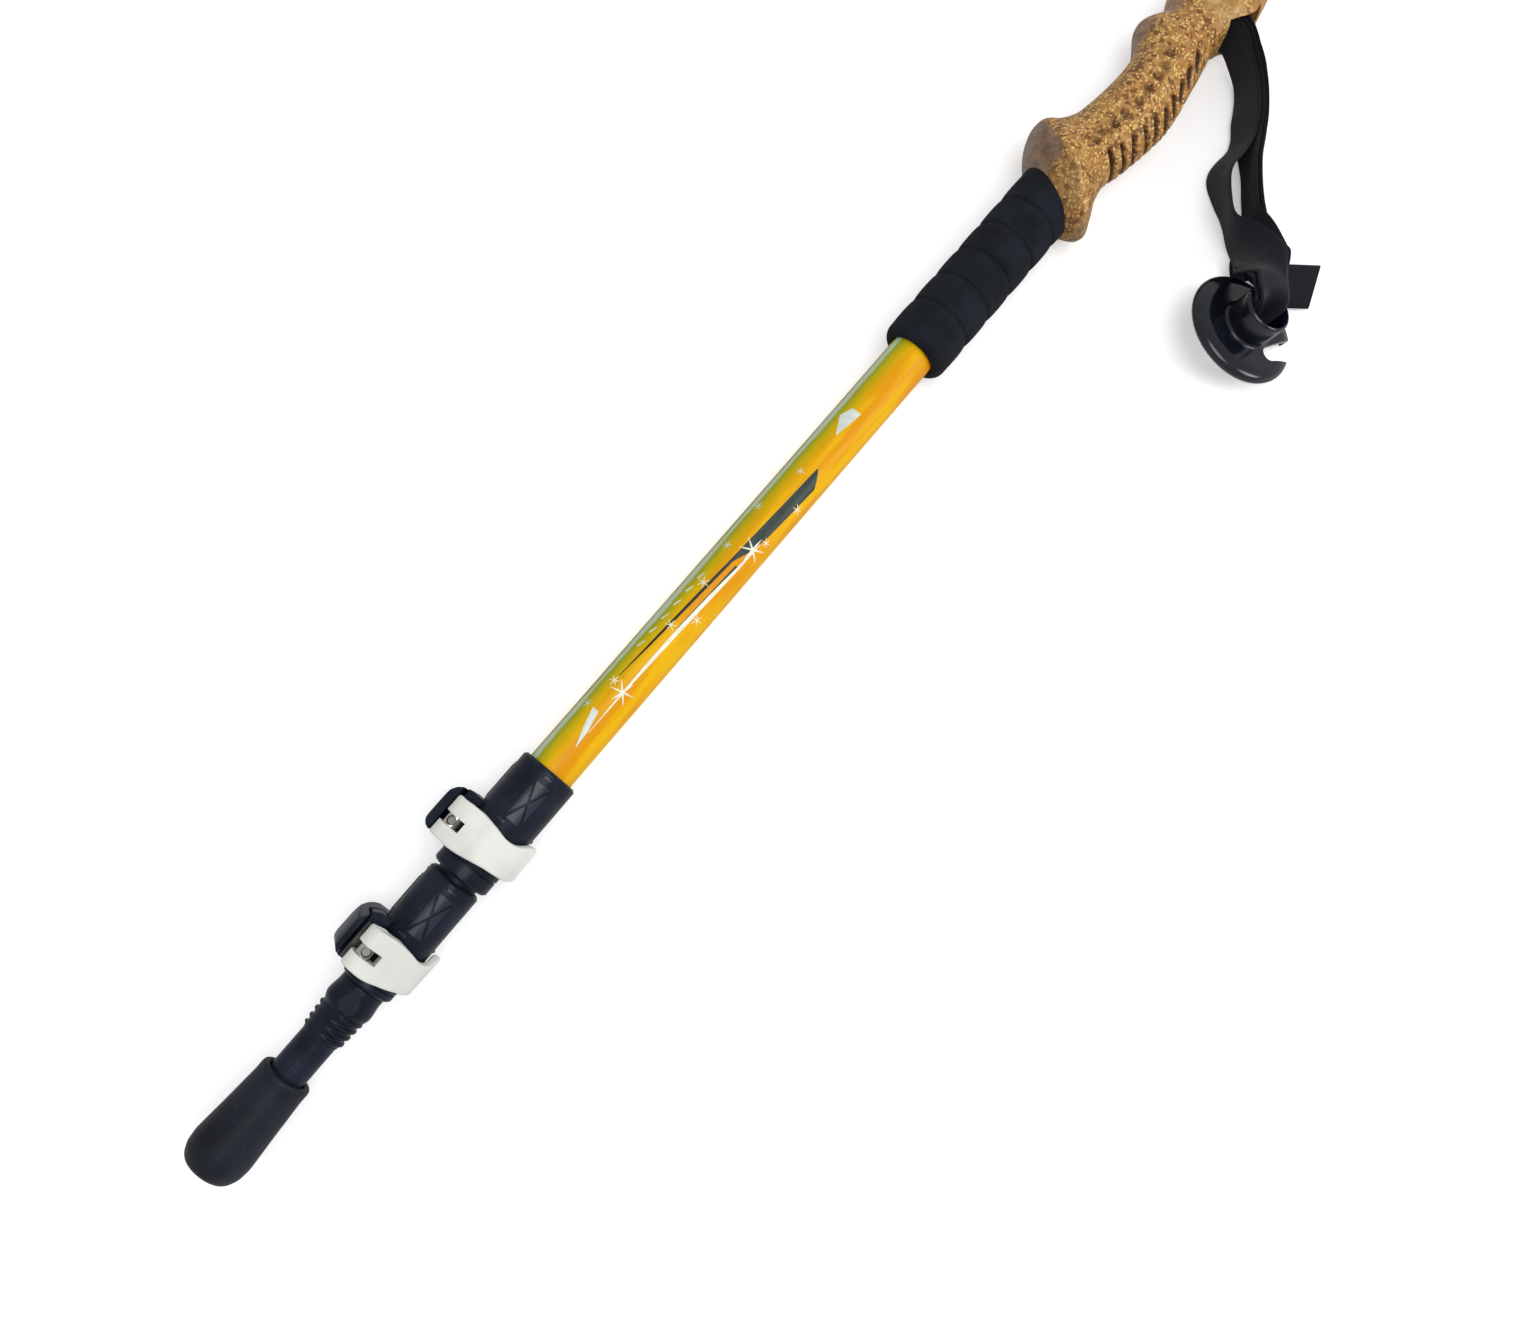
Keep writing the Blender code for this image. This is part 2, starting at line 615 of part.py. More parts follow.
def make_lever(lock):
    rings = []
    reach = math.hypot(lock.screw_y, lock.barrel_z)
    for i in range(LEVER_STATIONS):
        place = i / (LEVER_STATIONS - 1)
        a = math.radians(LEVER_START + (LEVER_END - LEVER_START) * place)
        low, high = lever_edges(place)
        near_hinge = 1.0 - between(place, 0.0, 0.12)
        flare = between(place, 0.85, 1.0)
        r_in = lock.arch + (reach - lock.arch - 3.0) * near_hinge + 0.5 * flare
        r_out = lock.arch + LEVER_THICK + 0.6 * near_hinge + 0.3 * math.cos(math.pi * place) + 1.0 * flare
        bevel = 0.7
        slant = 0.9 * flare
        section = [
            (low + bevel, r_in), (high - bevel, r_in), (high, r_in + bevel), (high, r_out - bevel),
            (high - bevel, r_out), (low + bevel, r_out), (low, r_out - bevel), (low, r_in + bevel),
        ]
        ring = []
        for x, r in section:
            turn = a + slant * (x - low) / (high - low) * math.radians(-8.0)
            ring.append((x, r * math.cos(turn), r * math.sin(turn)))
        rings.append(ring)
    lever = loft(lock.name("lever"), rings, WHITE)
    low, high = lever_edges(0.0)
    knuckle = plate("knuckle", knuckle_outline(lock), low, high, "X")
    combine(lever, knuckle, "UNION")
    barrel_hole = rod("barrel_hole", (SCREW_X, lock.screw_y, lock.barrel_z), BARREL_RADIUS + GAP, 40.0, "X")
    fork = box("fork", (SCREW_X - LEVER_FORK / 2, lock.screw_y - LOBE_RADIUS, lock.barrel_z - 8.0),
               (SCREW_X + LEVER_FORK / 2, lock.screw_y + 8.0, lock.barrel_z + 8.0))
    cut(lever, barrel_hole, fork)
    return lever


def make_lock(lock, frame):
    clamp = make_clamp(lock)
    lever = make_lever(lock)
    y = lock.screw_y
    barrel = rod(lock.name("barrel_nut"), (SCREW_X, y, lock.barrel_z), BARREL_RADIUS, BARREL_LENGTH, "X", NICKEL, 24)
    cut(barrel, rod("cross_hole", (SCREW_X, y, lock.barrel_z), SCREW_RADIUS + GAP, 12.0, "Z"))
    plate_in = lock.seat_in + GAP
    cam_plate = box(lock.name("cam_plate"), (SCREW_X - PLATE_LENGTH / 2, plate_in, lock.plate_low),
                    (SCREW_X + PLATE_LENGTH / 2, plate_in + PLATE_WIDTH, lock.plate_low + PLATE), STEEL)
    cut(cam_plate, rod("plate_hole", (SCREW_X, y, lock.plate_low), SCREW_RADIUS + GAP, 6.0, "Z"))
    head_low = -JAW_BOTTOM + SCREW_RECESS
    head_high = head_low + SCREW_HEAD
    shank_top = lock.barrel_z + BARREL_RADIUS - 0.9
    points = [(head_low, SCREW_HEAD_RADIUS - 0.3), (head_low + 0.3, SCREW_HEAD_RADIUS),
              (head_high, SCREW_HEAD_RADIUS), (head_high, SCREW_RADIUS), (shank_top, SCREW_RADIUS)]
    screw = turned(lock.name("clamp_screw"), points, None, STEEL, SMALL_SIDES)
    screw.data.transform(Matrix.Rotation(-math.pi / 2, 4, "Y"))
    screw.data.transform(Matrix.Translation(Vector((SCREW_X, y, 0.0)) * MM))
    cut(screw, box("driver_slot", (SCREW_X - 4.0, y - 0.45, head_low - 1.0), (SCREW_X + 4.0, y + 0.45, head_low + 0.9)))
    washer_low = head_high + GAP
    washer = turned(lock.name("washer"), [(washer_low, SCREW_HEAD_RADIUS), (washer_low + WASHER, SCREW_HEAD_RADIUS)],
                    [(washer_low, SCREW_RADIUS + GAP), (washer_low + WASHER, SCREW_RADIUS + GAP)], STEEL, SMALL_SIDES)
    washer.data.transform(Matrix.Rotation(-math.pi / 2, 4, "Y"))
    washer.data.transform(Matrix.Translation(Vector((SCREW_X, y, 0.0)) * MM))
    set_origin(lever, (SCREW_X, y, lock.barrel_z))
    set_origin(screw, (SCREW_X, y, 0.0))
    for piece in (clamp, lever, barrel, cam_plate, screw, washer):
        piece.parent = frame


# Tubes, bushes and grips

def make_tube(name, low, high, outer, bore, mat):
    return turned(name, [(low, outer - 0.15), (low + 0.15, outer), (high - 0.15, outer), (high, outer - 0.15)],
                  [(low, bore), (high, bore)], mat)


def make_bush(name, tube_end, tube_bore, outer_bore):
    """Plastic bush: its stem fits the tube's end and its head guides it in the next tube."""
    stem = tube_bore - GAP
    head = outer_bore - GAP
    low = tube_end - BUSH_STEM
    seat = tube_end + GAP
    top = seat + BUSH_HEAD
    return turned(name, [(low, stem), (seat, stem), (seat, head), (top - 0.8, head), (top, head - 0.8)],
                  [(low, BUSH_VENT), (top, BUSH_VENT)], BLACK)


def make_foam():
    """Foam sleeve with grooves between slightly bulging ribs, cut to the grip's slanted base."""
    edge = FOAM_EDGE
    outer = [(FOAM_X, FOAM_RADIUS - edge + 0.6)]
    outer += [(FOAM_X + edge * (1 - math.cos(a)), FOAM_RADIUS - edge + edge * math.sin(a))
              for a in (math.radians(30), math.radians(60), math.radians(90))]
    half = FOAM_GROOVE_WIDTH / 2
    for i in range(FOAM_GROOVES):
        x = FOAM_X + FOAM_GROOVE_FIRST + i * FOAM_GROOVE_PITCH
        outer += [(x - half, FOAM_RADIUS - 0.12), (x, FOAM_RADIUS - FOAM_GROOVE_DEPTH), (x + half, FOAM_RADIUS - 0.12)]
        outer.append((x + FOAM_GROOVE_PITCH / 2, FOAM_RADIUS + 0.12))
    top = FOAM_TOP_X + FOAM_SLANT * FOAM_RADIUS + 2.0
    outer = [p for p in outer if p[0] < top - 0.5]
    outer.append((top, FOAM_RADIUS))
    bore = UPPER_OD / 2 + GAP
    inner = [(FOAM_X, bore + FOAM_INNER_EDGE * 0.6), (FOAM_X + FOAM_INNER_EDGE * 0.5, bore), (top, bore)]
    foam = turned("foam_grip", outer, inner, FOAM)
    wedge = box("slant_cut", (0.0, -60.0, -30.0), (60.0, 60.0, 30.0))
    wedge.location = Vector((FOAM_TOP_X, 0.0, 0.0)) * MM
    wedge.rotation_euler = (0.0, 0.0, -math.atan(FOAM_SLANT))
    return cut(foam, wedge)


def turn_about_pin(across, along):
    """Place in plan of a point of the slot or strap: across the slot and along it from the pin."""
    c, s = math.cos(SLOT_TURN), math.sin(SLOT_TURN)
    return PIN_POINT[0] + across * c - along * s, PIN_POINT[1] + across * s + along * c


def back_power(rise):
    """Power that squares off the back half of the grip's section, so that its walls cover the strap."""
    into = min(max((rise - HEAD_START) / HEAD_BLEND, 0.0), 1.0)
    out = min(max((GRIP_STATIONS[-1][0] - rise) / HEAD_BLEND, 0.0), 1.0)
    return 1.0 - HEAD_SQUARE * into * out


def make_grip():
    rings = []
    for rise, slant, front, back, side in GRIP_STATIONS:
        power = back_power(rise)
        ring = []
        for i in range(GRIP_SIDES):
            a = math.tau * i / GRIP_SIDES
            c, s = round(math.cos(a), 9), round(math.sin(a), 9)
            if c < 0:
                y = -back * abs(c) ** power
                z = side * math.copysign(abs(s) ** power, s)
            else:
                y, z = front * c, side * s
            ring.append((GRIP_X + rise + slant * y, y, z))
        rings.append(ring)
    grip = loft("cork_grip", rings, CORK)
    bore_low = GRIP_X - 20.0
    bore_high = UPPER_TOP_X + 1.5
    bore = turned("grip_bore", [(bore_low, UPPER_OD / 2 + GAP), (bore_high, UPPER_OD / 2 + GAP)])
    px, py = PIN_POINT
    turn_radius = PIN_RADIUS + GAP + WEB_THICK + WEB_PITCH + 0.5
    half = turn_radius / math.cos(SLOT_FLARE)
    mouth = 24.0
    wide = half + mouth * math.tan(SLOT_FLARE)
    outline = [(px - wide, py - mouth), (px + wide, py - mouth)]
    outline += [(px + half, py)] + arc((px, py), turn_radius, 0, 180, 10)[1:-1] + [(px - half, py)]
    outline = [turn_about_pin(x - px, y - py) for x, y in outline]
    slot = plate("strap_slot", outline, -SLOT_HALF, SLOT_HALF, "Z")
    lip = half + SLOT_LIP * math.tan(SLOT_FLARE)
    lip_outline = [turn_about_pin(x, y) for x, y in ((-wide, -mouth), (wide, -mouth), (lip, -SLOT_LIP), (-lip, -SLOT_LIP))]
    slot_lip = plate("slot_lip", lip_outline, -SLOT_LIP_DEPTH, 0.0, "Z")
    hole_top = PIN_TOP + GAP
    hole_low = -30.0
    hole = rod("pin_hole", (px, py, (hole_top + hole_low) / 2), PIN_RADIUS + GAP, hole_top - hole_low, "Z")
    cut(grip, bore, slot, slot_lip, hole)
    pin = rod("strap_pin", (px, py, (PIN_TOP - PIN_BOTTOM) / 2), PIN_RADIUS, PIN_TOP + PIN_BOTTOM, "Z", STEEL, 16)
    return grip, pin


# Wrist strap: a ribbon of rows, each row a line of points across the webbing

ACROSS = np.linspace(-WEB_WIDTH / 2, WEB_WIDTH / 2, WEB_ACROSS + 1)


def smooth_path(stations, per_span):
    """Catmull-Rom curve through rows of numbers, with per_span samples for each span."""
    pts = np.asarray(stations, float)
    pts = np.vstack([2 * pts[0] - pts[1], pts, 2 * pts[-1] - pts[-2]])
    out = []
    for k in range(1, len(pts) - 2):
        p0, p1, p2, p3 = pts[k - 1], pts[k], pts[k + 1], pts[k + 2]
        for i in range(per_span):
            t = i / per_span
            out.append(0.5 * (2 * p1 + (p2 - p0) * t + (2 * p0 - 5 * p1 + 4 * p2 - p3) * t * t
                              + (3 * p1 - p0 - 3 * p2 + p3) * t ** 3))
    out.append(pts[-2])
    return np.array(out)


def web_frames(path):
    """Width and face directions along a path of (x, y, z, twist in degrees)."""
    along = np.gradient(path[:, :3], axis=0)
    along /= np.linalg.norm(along, axis=1)[:, None]
    side = np.stack([along[:, 1], -along[:, 0], np.zeros(len(path))], axis=1)
    side /= np.linalg.norm(side, axis=1)[:, None]
    up = np.cross(side, along)
    twist = np.radians(path[:, 3])[:, None]
    width = np.cos(twist) * side + np.sin(twist) * up
    return width, np.cross(width, along)


def web_rows(path):
    width, _ = web_frames(path)
    return [centre[:3] + np.outer(ACROSS, w) for centre, w in zip(path, width)]


def upright_row(across, along):
    """Row standing on edge inside the slot."""
    x, y = turn_about_pin(across, along)
    return np.stack([np.full(len(ACROSS), x), np.full(len(ACROSS), y), ACROSS], axis=1)


def basket_axes():
    n = np.array([math.sin(BASKET_TILT) * math.cos(BASKET_LEAN),
                  math.sin(BASKET_TILT) * math.sin(BASKET_LEAN), math.cos(BASKET_TILT)])
    entry = np.array([math.cos(STRAP_ENTRY), math.sin(STRAP_ENTRY), 0.0])
    e1 = entry - entry.dot(n) * n
    e1 /= np.linalg.norm(e1)
    return e1, np.cross(n, e1), n


def curled_row(radius, curl, height, shift=0.0):
    """Row curled about the hub's axis: distance from the axis, curl radius, height on the hub."""
    e1, e2, n = basket_axes()
    a = -ACROSS / curl
    origin = np.array(BASKET_CENTRE) + n * height + e1 * shift
    return origin + radius * (np.outer(np.cos(a), e1) + np.outer(np.sin(a), e2))


def standing(x, y, twist):
    """Station of webbing that stands on its lower edge on the ground."""
    a = math.radians(twist)
    return x, y, FLOOR_Z + WEB_WIDTH / 2 * abs(math.sin(a)) + WEB_THICK / 2 * (abs(math.cos(a)) + 0.3), twist


def strap_rows():
    inner = PIN_RADIUS + GAP + WEB_THICK / 2
    outer = inner + WEB_PITCH
    low = FLOOR_Z + WEB_THICK / 2
    # Shared run from the slot to the ground: the middle one of three layers
    shared = [
        (*turn_about_pin(-inner, -6.0), 0.0, 90.0),
        (*turn_about_pin(-inner + 0.8, -10.5), 0.0, 90.0),
        (*turn_about_pin(-0.9, -15.0), -0.8, 90.0),
        (577.2, -21.9, -3.2, 90.0),
        (573.0, -29.0, -6.0, 93.0),
        (566.6, -34.6, -7.4, 99.0),
        (559.6, -38.9, -7.6, 104.0),
        (552.5, -43.4, -7.6, 104.0),
    ]
    common = np.array(shared)
    _, face = web_frames(common)
    over = common.copy()
    over[:, :3] -= WEB_PITCH * face
    left = [tuple(p) for p in over] + [
        standing(545.4, -44.6, 108.0),
        standing(539.0, -45.0, 114.0),
        standing(533.2, -45.0, 114.0),
        standing(528.2, -46.4, 106.0),
        standing(523.6, -49.0, 95.0),
        standing(519.4, -52.6, 88.0),
        standing(515.3, -56.9, 82.0),
        standing(511.1, -61.2, 80.0),
        (506.8, -65.8, -7.2, 86.0),
        (502.8, -71.4, -4.2, 102.0),
        (498.4, -76.6, 1.0, 130.0),
        (493.8, -81.8, 6.4, 158.0),
    ]
    right = list(shared) + [
        standing(545.0, -48.6, 95.0),
        standing(537.3, -53.6, 87.0),
        standing(529.5, -58.8, 86.0),
        standing(522.2, -64.1, 86.0),
        (515.4, -69.2, -7.8, 90.0),
        (508.8, -73.6, -5.0, 112.0),
        (501.9, -78.1, -0.8, 140.0),
        (495.8, -82.8, 4.2, 163.0),
    ]
    under = common.copy()
    apart = np.array([2 * inner, 2 * inner - 1.6, 2.2, WEB_PITCH, WEB_PITCH, WEB_PITCH, WEB_PITCH, WEB_PITCH])
    under[:, :3] += apart[:, None] * face
    tail = [tuple(p) for p in under] + [
        standing(546.2, -50.3, 95.0),
        standing(538.5, -55.3, 87.0),
        standing(530.7, -60.5, 86.0),
        standing(523.6, -65.8, 86.0),
        standing(517.4, -70.8, 88.0),
        standing(513.0, -74.4, 94.0),
        standing(509.2, -77.4, 122.0),
        standing(505.9, -79.9, 152.0),
        (503.7, -83.2, low, 176.0),
    ]
    rows = [upright_row(outer, -8.0), upright_row(outer, -3.0)]
    for deg in range(0, 181, 30):
        a = math.radians(deg)
        rows.append(upright_row(outer * math.cos(a), outer * math.sin(a)))
    rows += web_rows(smooth_path(left, 2))
    # Over the hub's rim, down its bore, round under the basket and back up
    rim = HUB_HEIGHT
    bore = BASKET_BORE - 0.35 - WEB_THICK / 2
    inside = bore - WEB_PITCH
    rows += [
        curled_row(14.6, 17.0, rim + 3.35),
        curled_row(inside + 5.6, inside + 7.0, rim + 3.3),
        curled_row(inside + 2.8, inside + 3.8, rim + 3.15),
        curled_row(inside + 1.0, inside + 1.5, rim + 2.1),
        curled_row(inside + 0.15, inside + 0.4, rim + 0.4),
        curled_row(inside, inside, rim - 2.0),
        curled_row(inside, inside, -BASKET_WALL - 2.0),
    ]
    bend = -BASKET_WALL - 3.0
    for deg in (145, 90, 35):
        a = math.radians(deg)
        radius = (bore + inside) / 2 + WEB_PITCH / 2 * math.cos(a)
        rows.append(curled_row(radius, radius, bend - WEB_PITCH / 2 * math.sin(a)))
    rows += [
        curled_row(bore, bore, -BASKET_WALL - 2.0),
        curled_row(bore, bore, rim - 4.0),
        curled_row(bore + 0.05, bore + 0.2, rim - 1.5),
        curled_row(7.4, 7.8, rim + 0.4),
        curled_row(8.7, 9.2, rim + 1.1),
        curled_row(10.6, 11.4, rim + 1.2),
        curled_row(14.0, 15.5, rim + 1.35),
    ]
    rows += list(reversed(web_rows(smooth_path(right, 2))))
    for deg in range(180, -1, -30):
        a = math.radians(deg)
        rows.append(upright_row(inner * math.cos(a), inner * math.sin(a)))
    rows += web_rows(smooth_path(tail, 2))
    # Diagonal fold of the tail and its slanting cut end
    knee = np.array([501.1, -87.3, low])
    came = np.array([-0.85, -0.527, 0.0])
    goes = np.array([0.6, -0.8, 0.0])
    crease = came + goes
    crease /= np.linalg.norm(crease)
    width_in = np.array([-came[1], came[0], 0.0])
    if width_in.dot(crease) < 0:
        crease = -crease
    stretch = 1.0 / abs(width_in.dot(crease))
    out = came - goes
    out /= np.linalg.norm(out)
    for deg in (-90, -30, 30, 90):
        a = math.radians(deg)
        centre = knee + out * (WEB_PITCH / 2 * math.cos(a)) + np.array([0, 0, WEB_PITCH / 2 * (1 + math.sin(a))])
        rows.append(centre + np.outer(ACROSS * stretch, crease))
    width_out = 2 * width_in.dot(crease) * crease - width_in
    top = knee + np.array([0, 0, WEB_PITCH])
    rows.append(top + goes * 7.0 + np.outer(ACROSS, width_out))
    rows.append(top + goes * 14.0 + np.outer(ACROSS, width_out))
    end = top + np.outer(21.4 - 3.2 * ACROSS / 10.0, goes) + np.outer(ACROSS, width_out)
    rows.append(end)
    return rows


def make_strap():
    rows = strap_rows()
    count = len(ACROSS)
    verts = [p for row in rows for p in row]
    faces = []
    for k in range(len(rows) - 1):
        for i in range(count - 1):
            a = k * count + i
            faces.append((a, a + 1, a + count + 1, a + count))
    strap = new_object("wrist_strap", mesh_from("wrist_strap", verts, [], faces), WEBBING)
    shell = strap.modifiers.new("thickness", "SOLIDIFY")
    shell.thickness = WEB_THICK * MM
    shell.offset = 0.0
    settle(strap, 50.0)
    set_origin(strap, (PIN_POINT[0], PIN_POINT[1], 0.0))
    return strap


# Mud basket, made upright about its hub and then laid over

def make_basket():
    r = BASKET_RADIUS
    wall = BASKET_WALL
    skirt = BASKET_SKIRT
    outer = [
        (-skirt, r - 0.9),
        (-skirt + 1.2, r - 0.2),
        (-2.9, r),
        (-1.3, r - 1.2),
        (-0.5, r - 3.4),
        (0.0, r - 8.0),
        (0.0, HUB_RADIUS + 0.8),
        (0.8, HUB_RADIUS),
        (HUB_HEIGHT - 0.8, HUB_RADIUS),
        (HUB_HEIGHT, HUB_RADIUS - 0.8),
    ]
    inner = [
        (-skirt, r - 0.9 - wall),
        (-2.9, r - wall - 0.3),
        (-wall - 0.6, r - 4.2),
        (-wall, r - 8.0),
        (-wall, BASKET_BORE + 1.0),
        (-wall + 1.0, BASKET_BORE),
        (HUB_HEIGHT - 1.8, BASKET_BORE),
        (HUB_HEIGHT, BASKET_BORE + 1.1),
    ]
    basket = turned("mud_basket", outer, inner, BASKET)
    basket.data.transform(Matrix.Rotation(-math.pi / 2, 4, "Y"))
    reach = 20.0
    half = NOTCH_WIDTH / 2
    mouth = half + reach * math.tan(NOTCH_FLARE)
    outline = arc((0.0, 0.0), half, 90, 270, 8) + [(reach, -mouth), (reach, mouth)]
    notch = plate("notch", outline, -20.0, HUB_HEIGHT + 5.0, "Z")
    notch.data.transform(Matrix.Rotation(NOTCH_TURN, 4, "Z"))
    notch.data.transform(Matrix.Translation(Vector((*NOTCH_END, 0.0)) * MM))
    flat = box("flat", (FLAT_REACH, -20.0, -20.0), (FLAT_REACH + 10.0, 20.0, 20.0))
    flat.data.transform(Matrix.Rotation(FLAT_TURN, 4, "Z"))
    cut(basket, notch, flat)
    e1, e2, n = basket_axes()
    turn = Matrix((e1, e2, n)).transposed().to_4x4()
    basket.data.transform(turn)
    basket.location = Vector(BASKET_CENTRE) * MM
    return basket


def main():
    lower_lock = Lock("lower", LOWER_OD, MIDDLE_OD, LOWER_COLLAR, LOWER_SLEEVE_WALL, LOWER_HOOD)
    upper_lock = Lock("upper", MIDDLE_OD, UPPER_OD, UPPER_COLLAR, SLEEVE_WALL, UPPER_HOOD)

    handle = empty("handle_section", (0, 0, 0))
    middle = empty("middle_section", (0, 0, 0), handle)
    tip = empty("tip_section", (0, 0, 0), middle)

    foot, washer = make_foot()
    foot.parent = tip
    washer.parent = foot
    lower_tube_low = make_ferrule()
    upper_frame = empty("upper_lock_frame", (UPPER_LOCK_X, 0, 0), handle)
    lower_frame = empty("lower_lock_frame", (LOWER_LOCK_X, 0, 0), middle, LOWER_LOCK_ROLL)
    make_lock(lower_lock, lower_frame)
    make_lock(upper_lock, upper_frame)

    upper = make_tube("upper_tube", UPPER_LOCK_X + TUBE_START, UPPER_TOP_X, UPPER_OD / 2, UPPER_BORE, YELLOW)
    mid = make_tube("middle_tube", LOWER_LOCK_X + TUBE_START, MIDDLE_TOP_X, MIDDLE_OD / 2, MIDDLE_BORE, ALUMINIUM)
    low = make_tube("lower_tube", lower_tube_low, LOWER_TOP_X, LOWER_OD / 2, LOWER_BORE, ALUMINIUM)
    mid_bush = make_bush("middle_guide_bush", MIDDLE_TOP_X, MIDDLE_BORE, UPPER_BORE)
    low_bush = make_bush("lower_guide_bush", LOWER_TOP_X, LOWER_BORE, MIDDLE_BORE)
    foam = make_foam()
    grip, pin = make_grip()
    for piece in (upper, foam, grip, pin):
        piece.parent = handle
    for piece in (mid, mid_bush):
        piece.parent = middle
    for piece in (low, low_bush, bpy.data.objects["tip_ferrule"], bpy.data.objects["carbide_tip"]):
        piece.parent = tip
    strap = make_strap()
    strap.parent = handle
    basket = make_basket()
    basket.parent = strap
    basket.location = basket.location - strap.location
    bpy.context.view_layer.update()


main()
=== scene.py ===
"""Looks of the alpenstock: a three-section pole, pushed together and lying on the ground.

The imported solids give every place. Sizes are in millimetres and become metres in the meshes; the
shaders work in metres. The shaft's axis is the X axis, +Y is the finger side of the grip and +Z is
up.
"""
import math

import bmesh
import bpy
import numpy as np
from mathutils import Matrix, Vector


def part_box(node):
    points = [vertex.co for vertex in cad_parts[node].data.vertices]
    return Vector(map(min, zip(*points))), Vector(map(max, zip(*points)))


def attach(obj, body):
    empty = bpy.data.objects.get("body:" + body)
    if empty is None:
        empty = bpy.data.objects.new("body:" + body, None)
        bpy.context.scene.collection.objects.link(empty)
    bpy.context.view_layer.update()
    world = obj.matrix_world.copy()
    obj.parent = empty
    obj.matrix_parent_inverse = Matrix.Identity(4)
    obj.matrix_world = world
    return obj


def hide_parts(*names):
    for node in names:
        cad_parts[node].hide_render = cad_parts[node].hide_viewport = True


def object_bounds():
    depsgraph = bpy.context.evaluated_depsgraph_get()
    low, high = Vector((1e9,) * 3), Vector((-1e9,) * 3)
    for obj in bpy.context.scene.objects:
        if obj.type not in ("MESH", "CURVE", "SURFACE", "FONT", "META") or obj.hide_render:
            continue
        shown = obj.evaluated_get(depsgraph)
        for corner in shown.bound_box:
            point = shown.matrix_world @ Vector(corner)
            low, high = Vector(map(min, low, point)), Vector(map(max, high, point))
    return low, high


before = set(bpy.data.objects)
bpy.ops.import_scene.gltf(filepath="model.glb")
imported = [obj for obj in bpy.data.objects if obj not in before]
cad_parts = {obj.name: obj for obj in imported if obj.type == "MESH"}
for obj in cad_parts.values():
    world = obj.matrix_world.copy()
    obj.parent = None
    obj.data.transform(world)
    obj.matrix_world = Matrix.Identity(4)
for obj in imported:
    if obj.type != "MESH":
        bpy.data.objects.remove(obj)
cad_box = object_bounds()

MM = 0.001
TAU = 2 * math.pi


# Numbers and curves

def shade(r, g, b):
    """Display colour, 0 to 255, as the linear colour that a shader takes."""
    c = np.array([r, g, b]) / 255.0
    linear = np.where(c <= 0.04045, c / 12.92, ((c + 0.055) / 1.055) ** 2.4)
    return (*linear.tolist(), 1.0)


def ease(x):
    """Smooth step: 3x^2 - 2x^3 of x kept to 0..1."""
    x = np.clip(x, 0.0, 1.0)
    return x * x * (3 - 2 * x)


def around(count):
    """Angles of evenly spaced places round a circle."""
    return np.arange(count) / count * TAU


def about_axis(x, r, a):
    """Points at places x along the X axis, at distance r from it and angle a round it."""
    return np.stack(np.broadcast_arrays(x, r * np.cos(a), r * np.sin(a)), axis=-1)


def swung(points, angle):
    """Points of a plane turned about its origin."""
    c, s = math.cos(angle), math.sin(angle)
    return np.asarray(points, float) @ np.array([[c, s], [-s, c]])


def through(points, count):
    """Catmull-Rom curve through rows of numbers, count samples for each span, all spans at once."""
    pts = np.asarray(points, float)
    pts = np.concatenate([2 * pts[:1] - pts[1:2], pts, 2 * pts[-1:] - pts[-2:-1]])
    p0, p1, p2, p3 = pts[:-3, None], pts[1:-2, None], pts[2:-1, None], pts[3:, None]
    t = (np.arange(count) / count).reshape((1, count) + (1,) * (pts.ndim - 1))
    curve = 0.5 * (2 * p1 + (p2 - p0) * t + (2 * p0 - 5 * p1 + 4 * p2 - p3) * t ** 2
                   + (3 * p1 - p0 - 3 * p2 + p3) * t ** 3)
    curve = curve.reshape((-1,) + pts.shape[1:])
    return np.concatenate([curve, pts[-2:-1]])


def rounded(profile, radius, steps):
    """Open profile of (x, r) points with each inner corner P replaced by the curve
    (1-t)^2 A + 2t(1-t) P + t^2 B, where A and B lie on the two sides, at most radius from P."""
    pts = np.asarray(profile, float)
    t = np.linspace(0, 1, steps + 1)[:, None]
    out = [pts[:1]]
    for before, here, after in zip(pts[:-2], pts[1:-1], pts[2:]):
        a, b = before - here, after - here
        la, lb = np.linalg.norm(a), np.linalg.norm(b)
        start = here + a / la * min(radius, 0.45 * la)
        end = here + b / lb * min(radius, 0.45 * lb)
        out.append((1 - t) ** 2 * start + 2 * t * (1 - t) * here + t ** 2 * end)
    out.append(pts[-1:])
    return np.concatenate(out)


# Meshes

def put_in(name, data):
    """New object with that data, in the scene."""
    thing = bpy.data.objects.new(name, data)
    bpy.context.scene.collection.objects.link(thing)
    return thing


def outward(mesh):
    """Turn all faces over where the signed volume, the sum of v0 . (v1 x v2) / 6, is negative."""
    mesh.calc_loop_triangles()
    tris = np.zeros(len(mesh.loop_triangles) * 3, int)
    mesh.loop_triangles.foreach_get("vertices", tris)
    corner = points_of(mesh)[tris.reshape(-1, 3)]
    if np.einsum("ij,ij->i", corner[:, 0], np.cross(corner[:, 1], corner[:, 2])).sum() < 0:
        mesh.flip_normals()


def points_of(mesh):
    co = np.zeros(len(mesh.vertices) * 3)
    mesh.vertices.foreach_get("co", co)
    return co.reshape(-1, 3)


def smooth_but_for(mesh, angle):
    """Smooth shading, but for edges whose faces turn by more than angle in degrees."""
    mesh.shade_smooth()
    mesh.set_sharp_from_angle(angle=math.radians(angle))


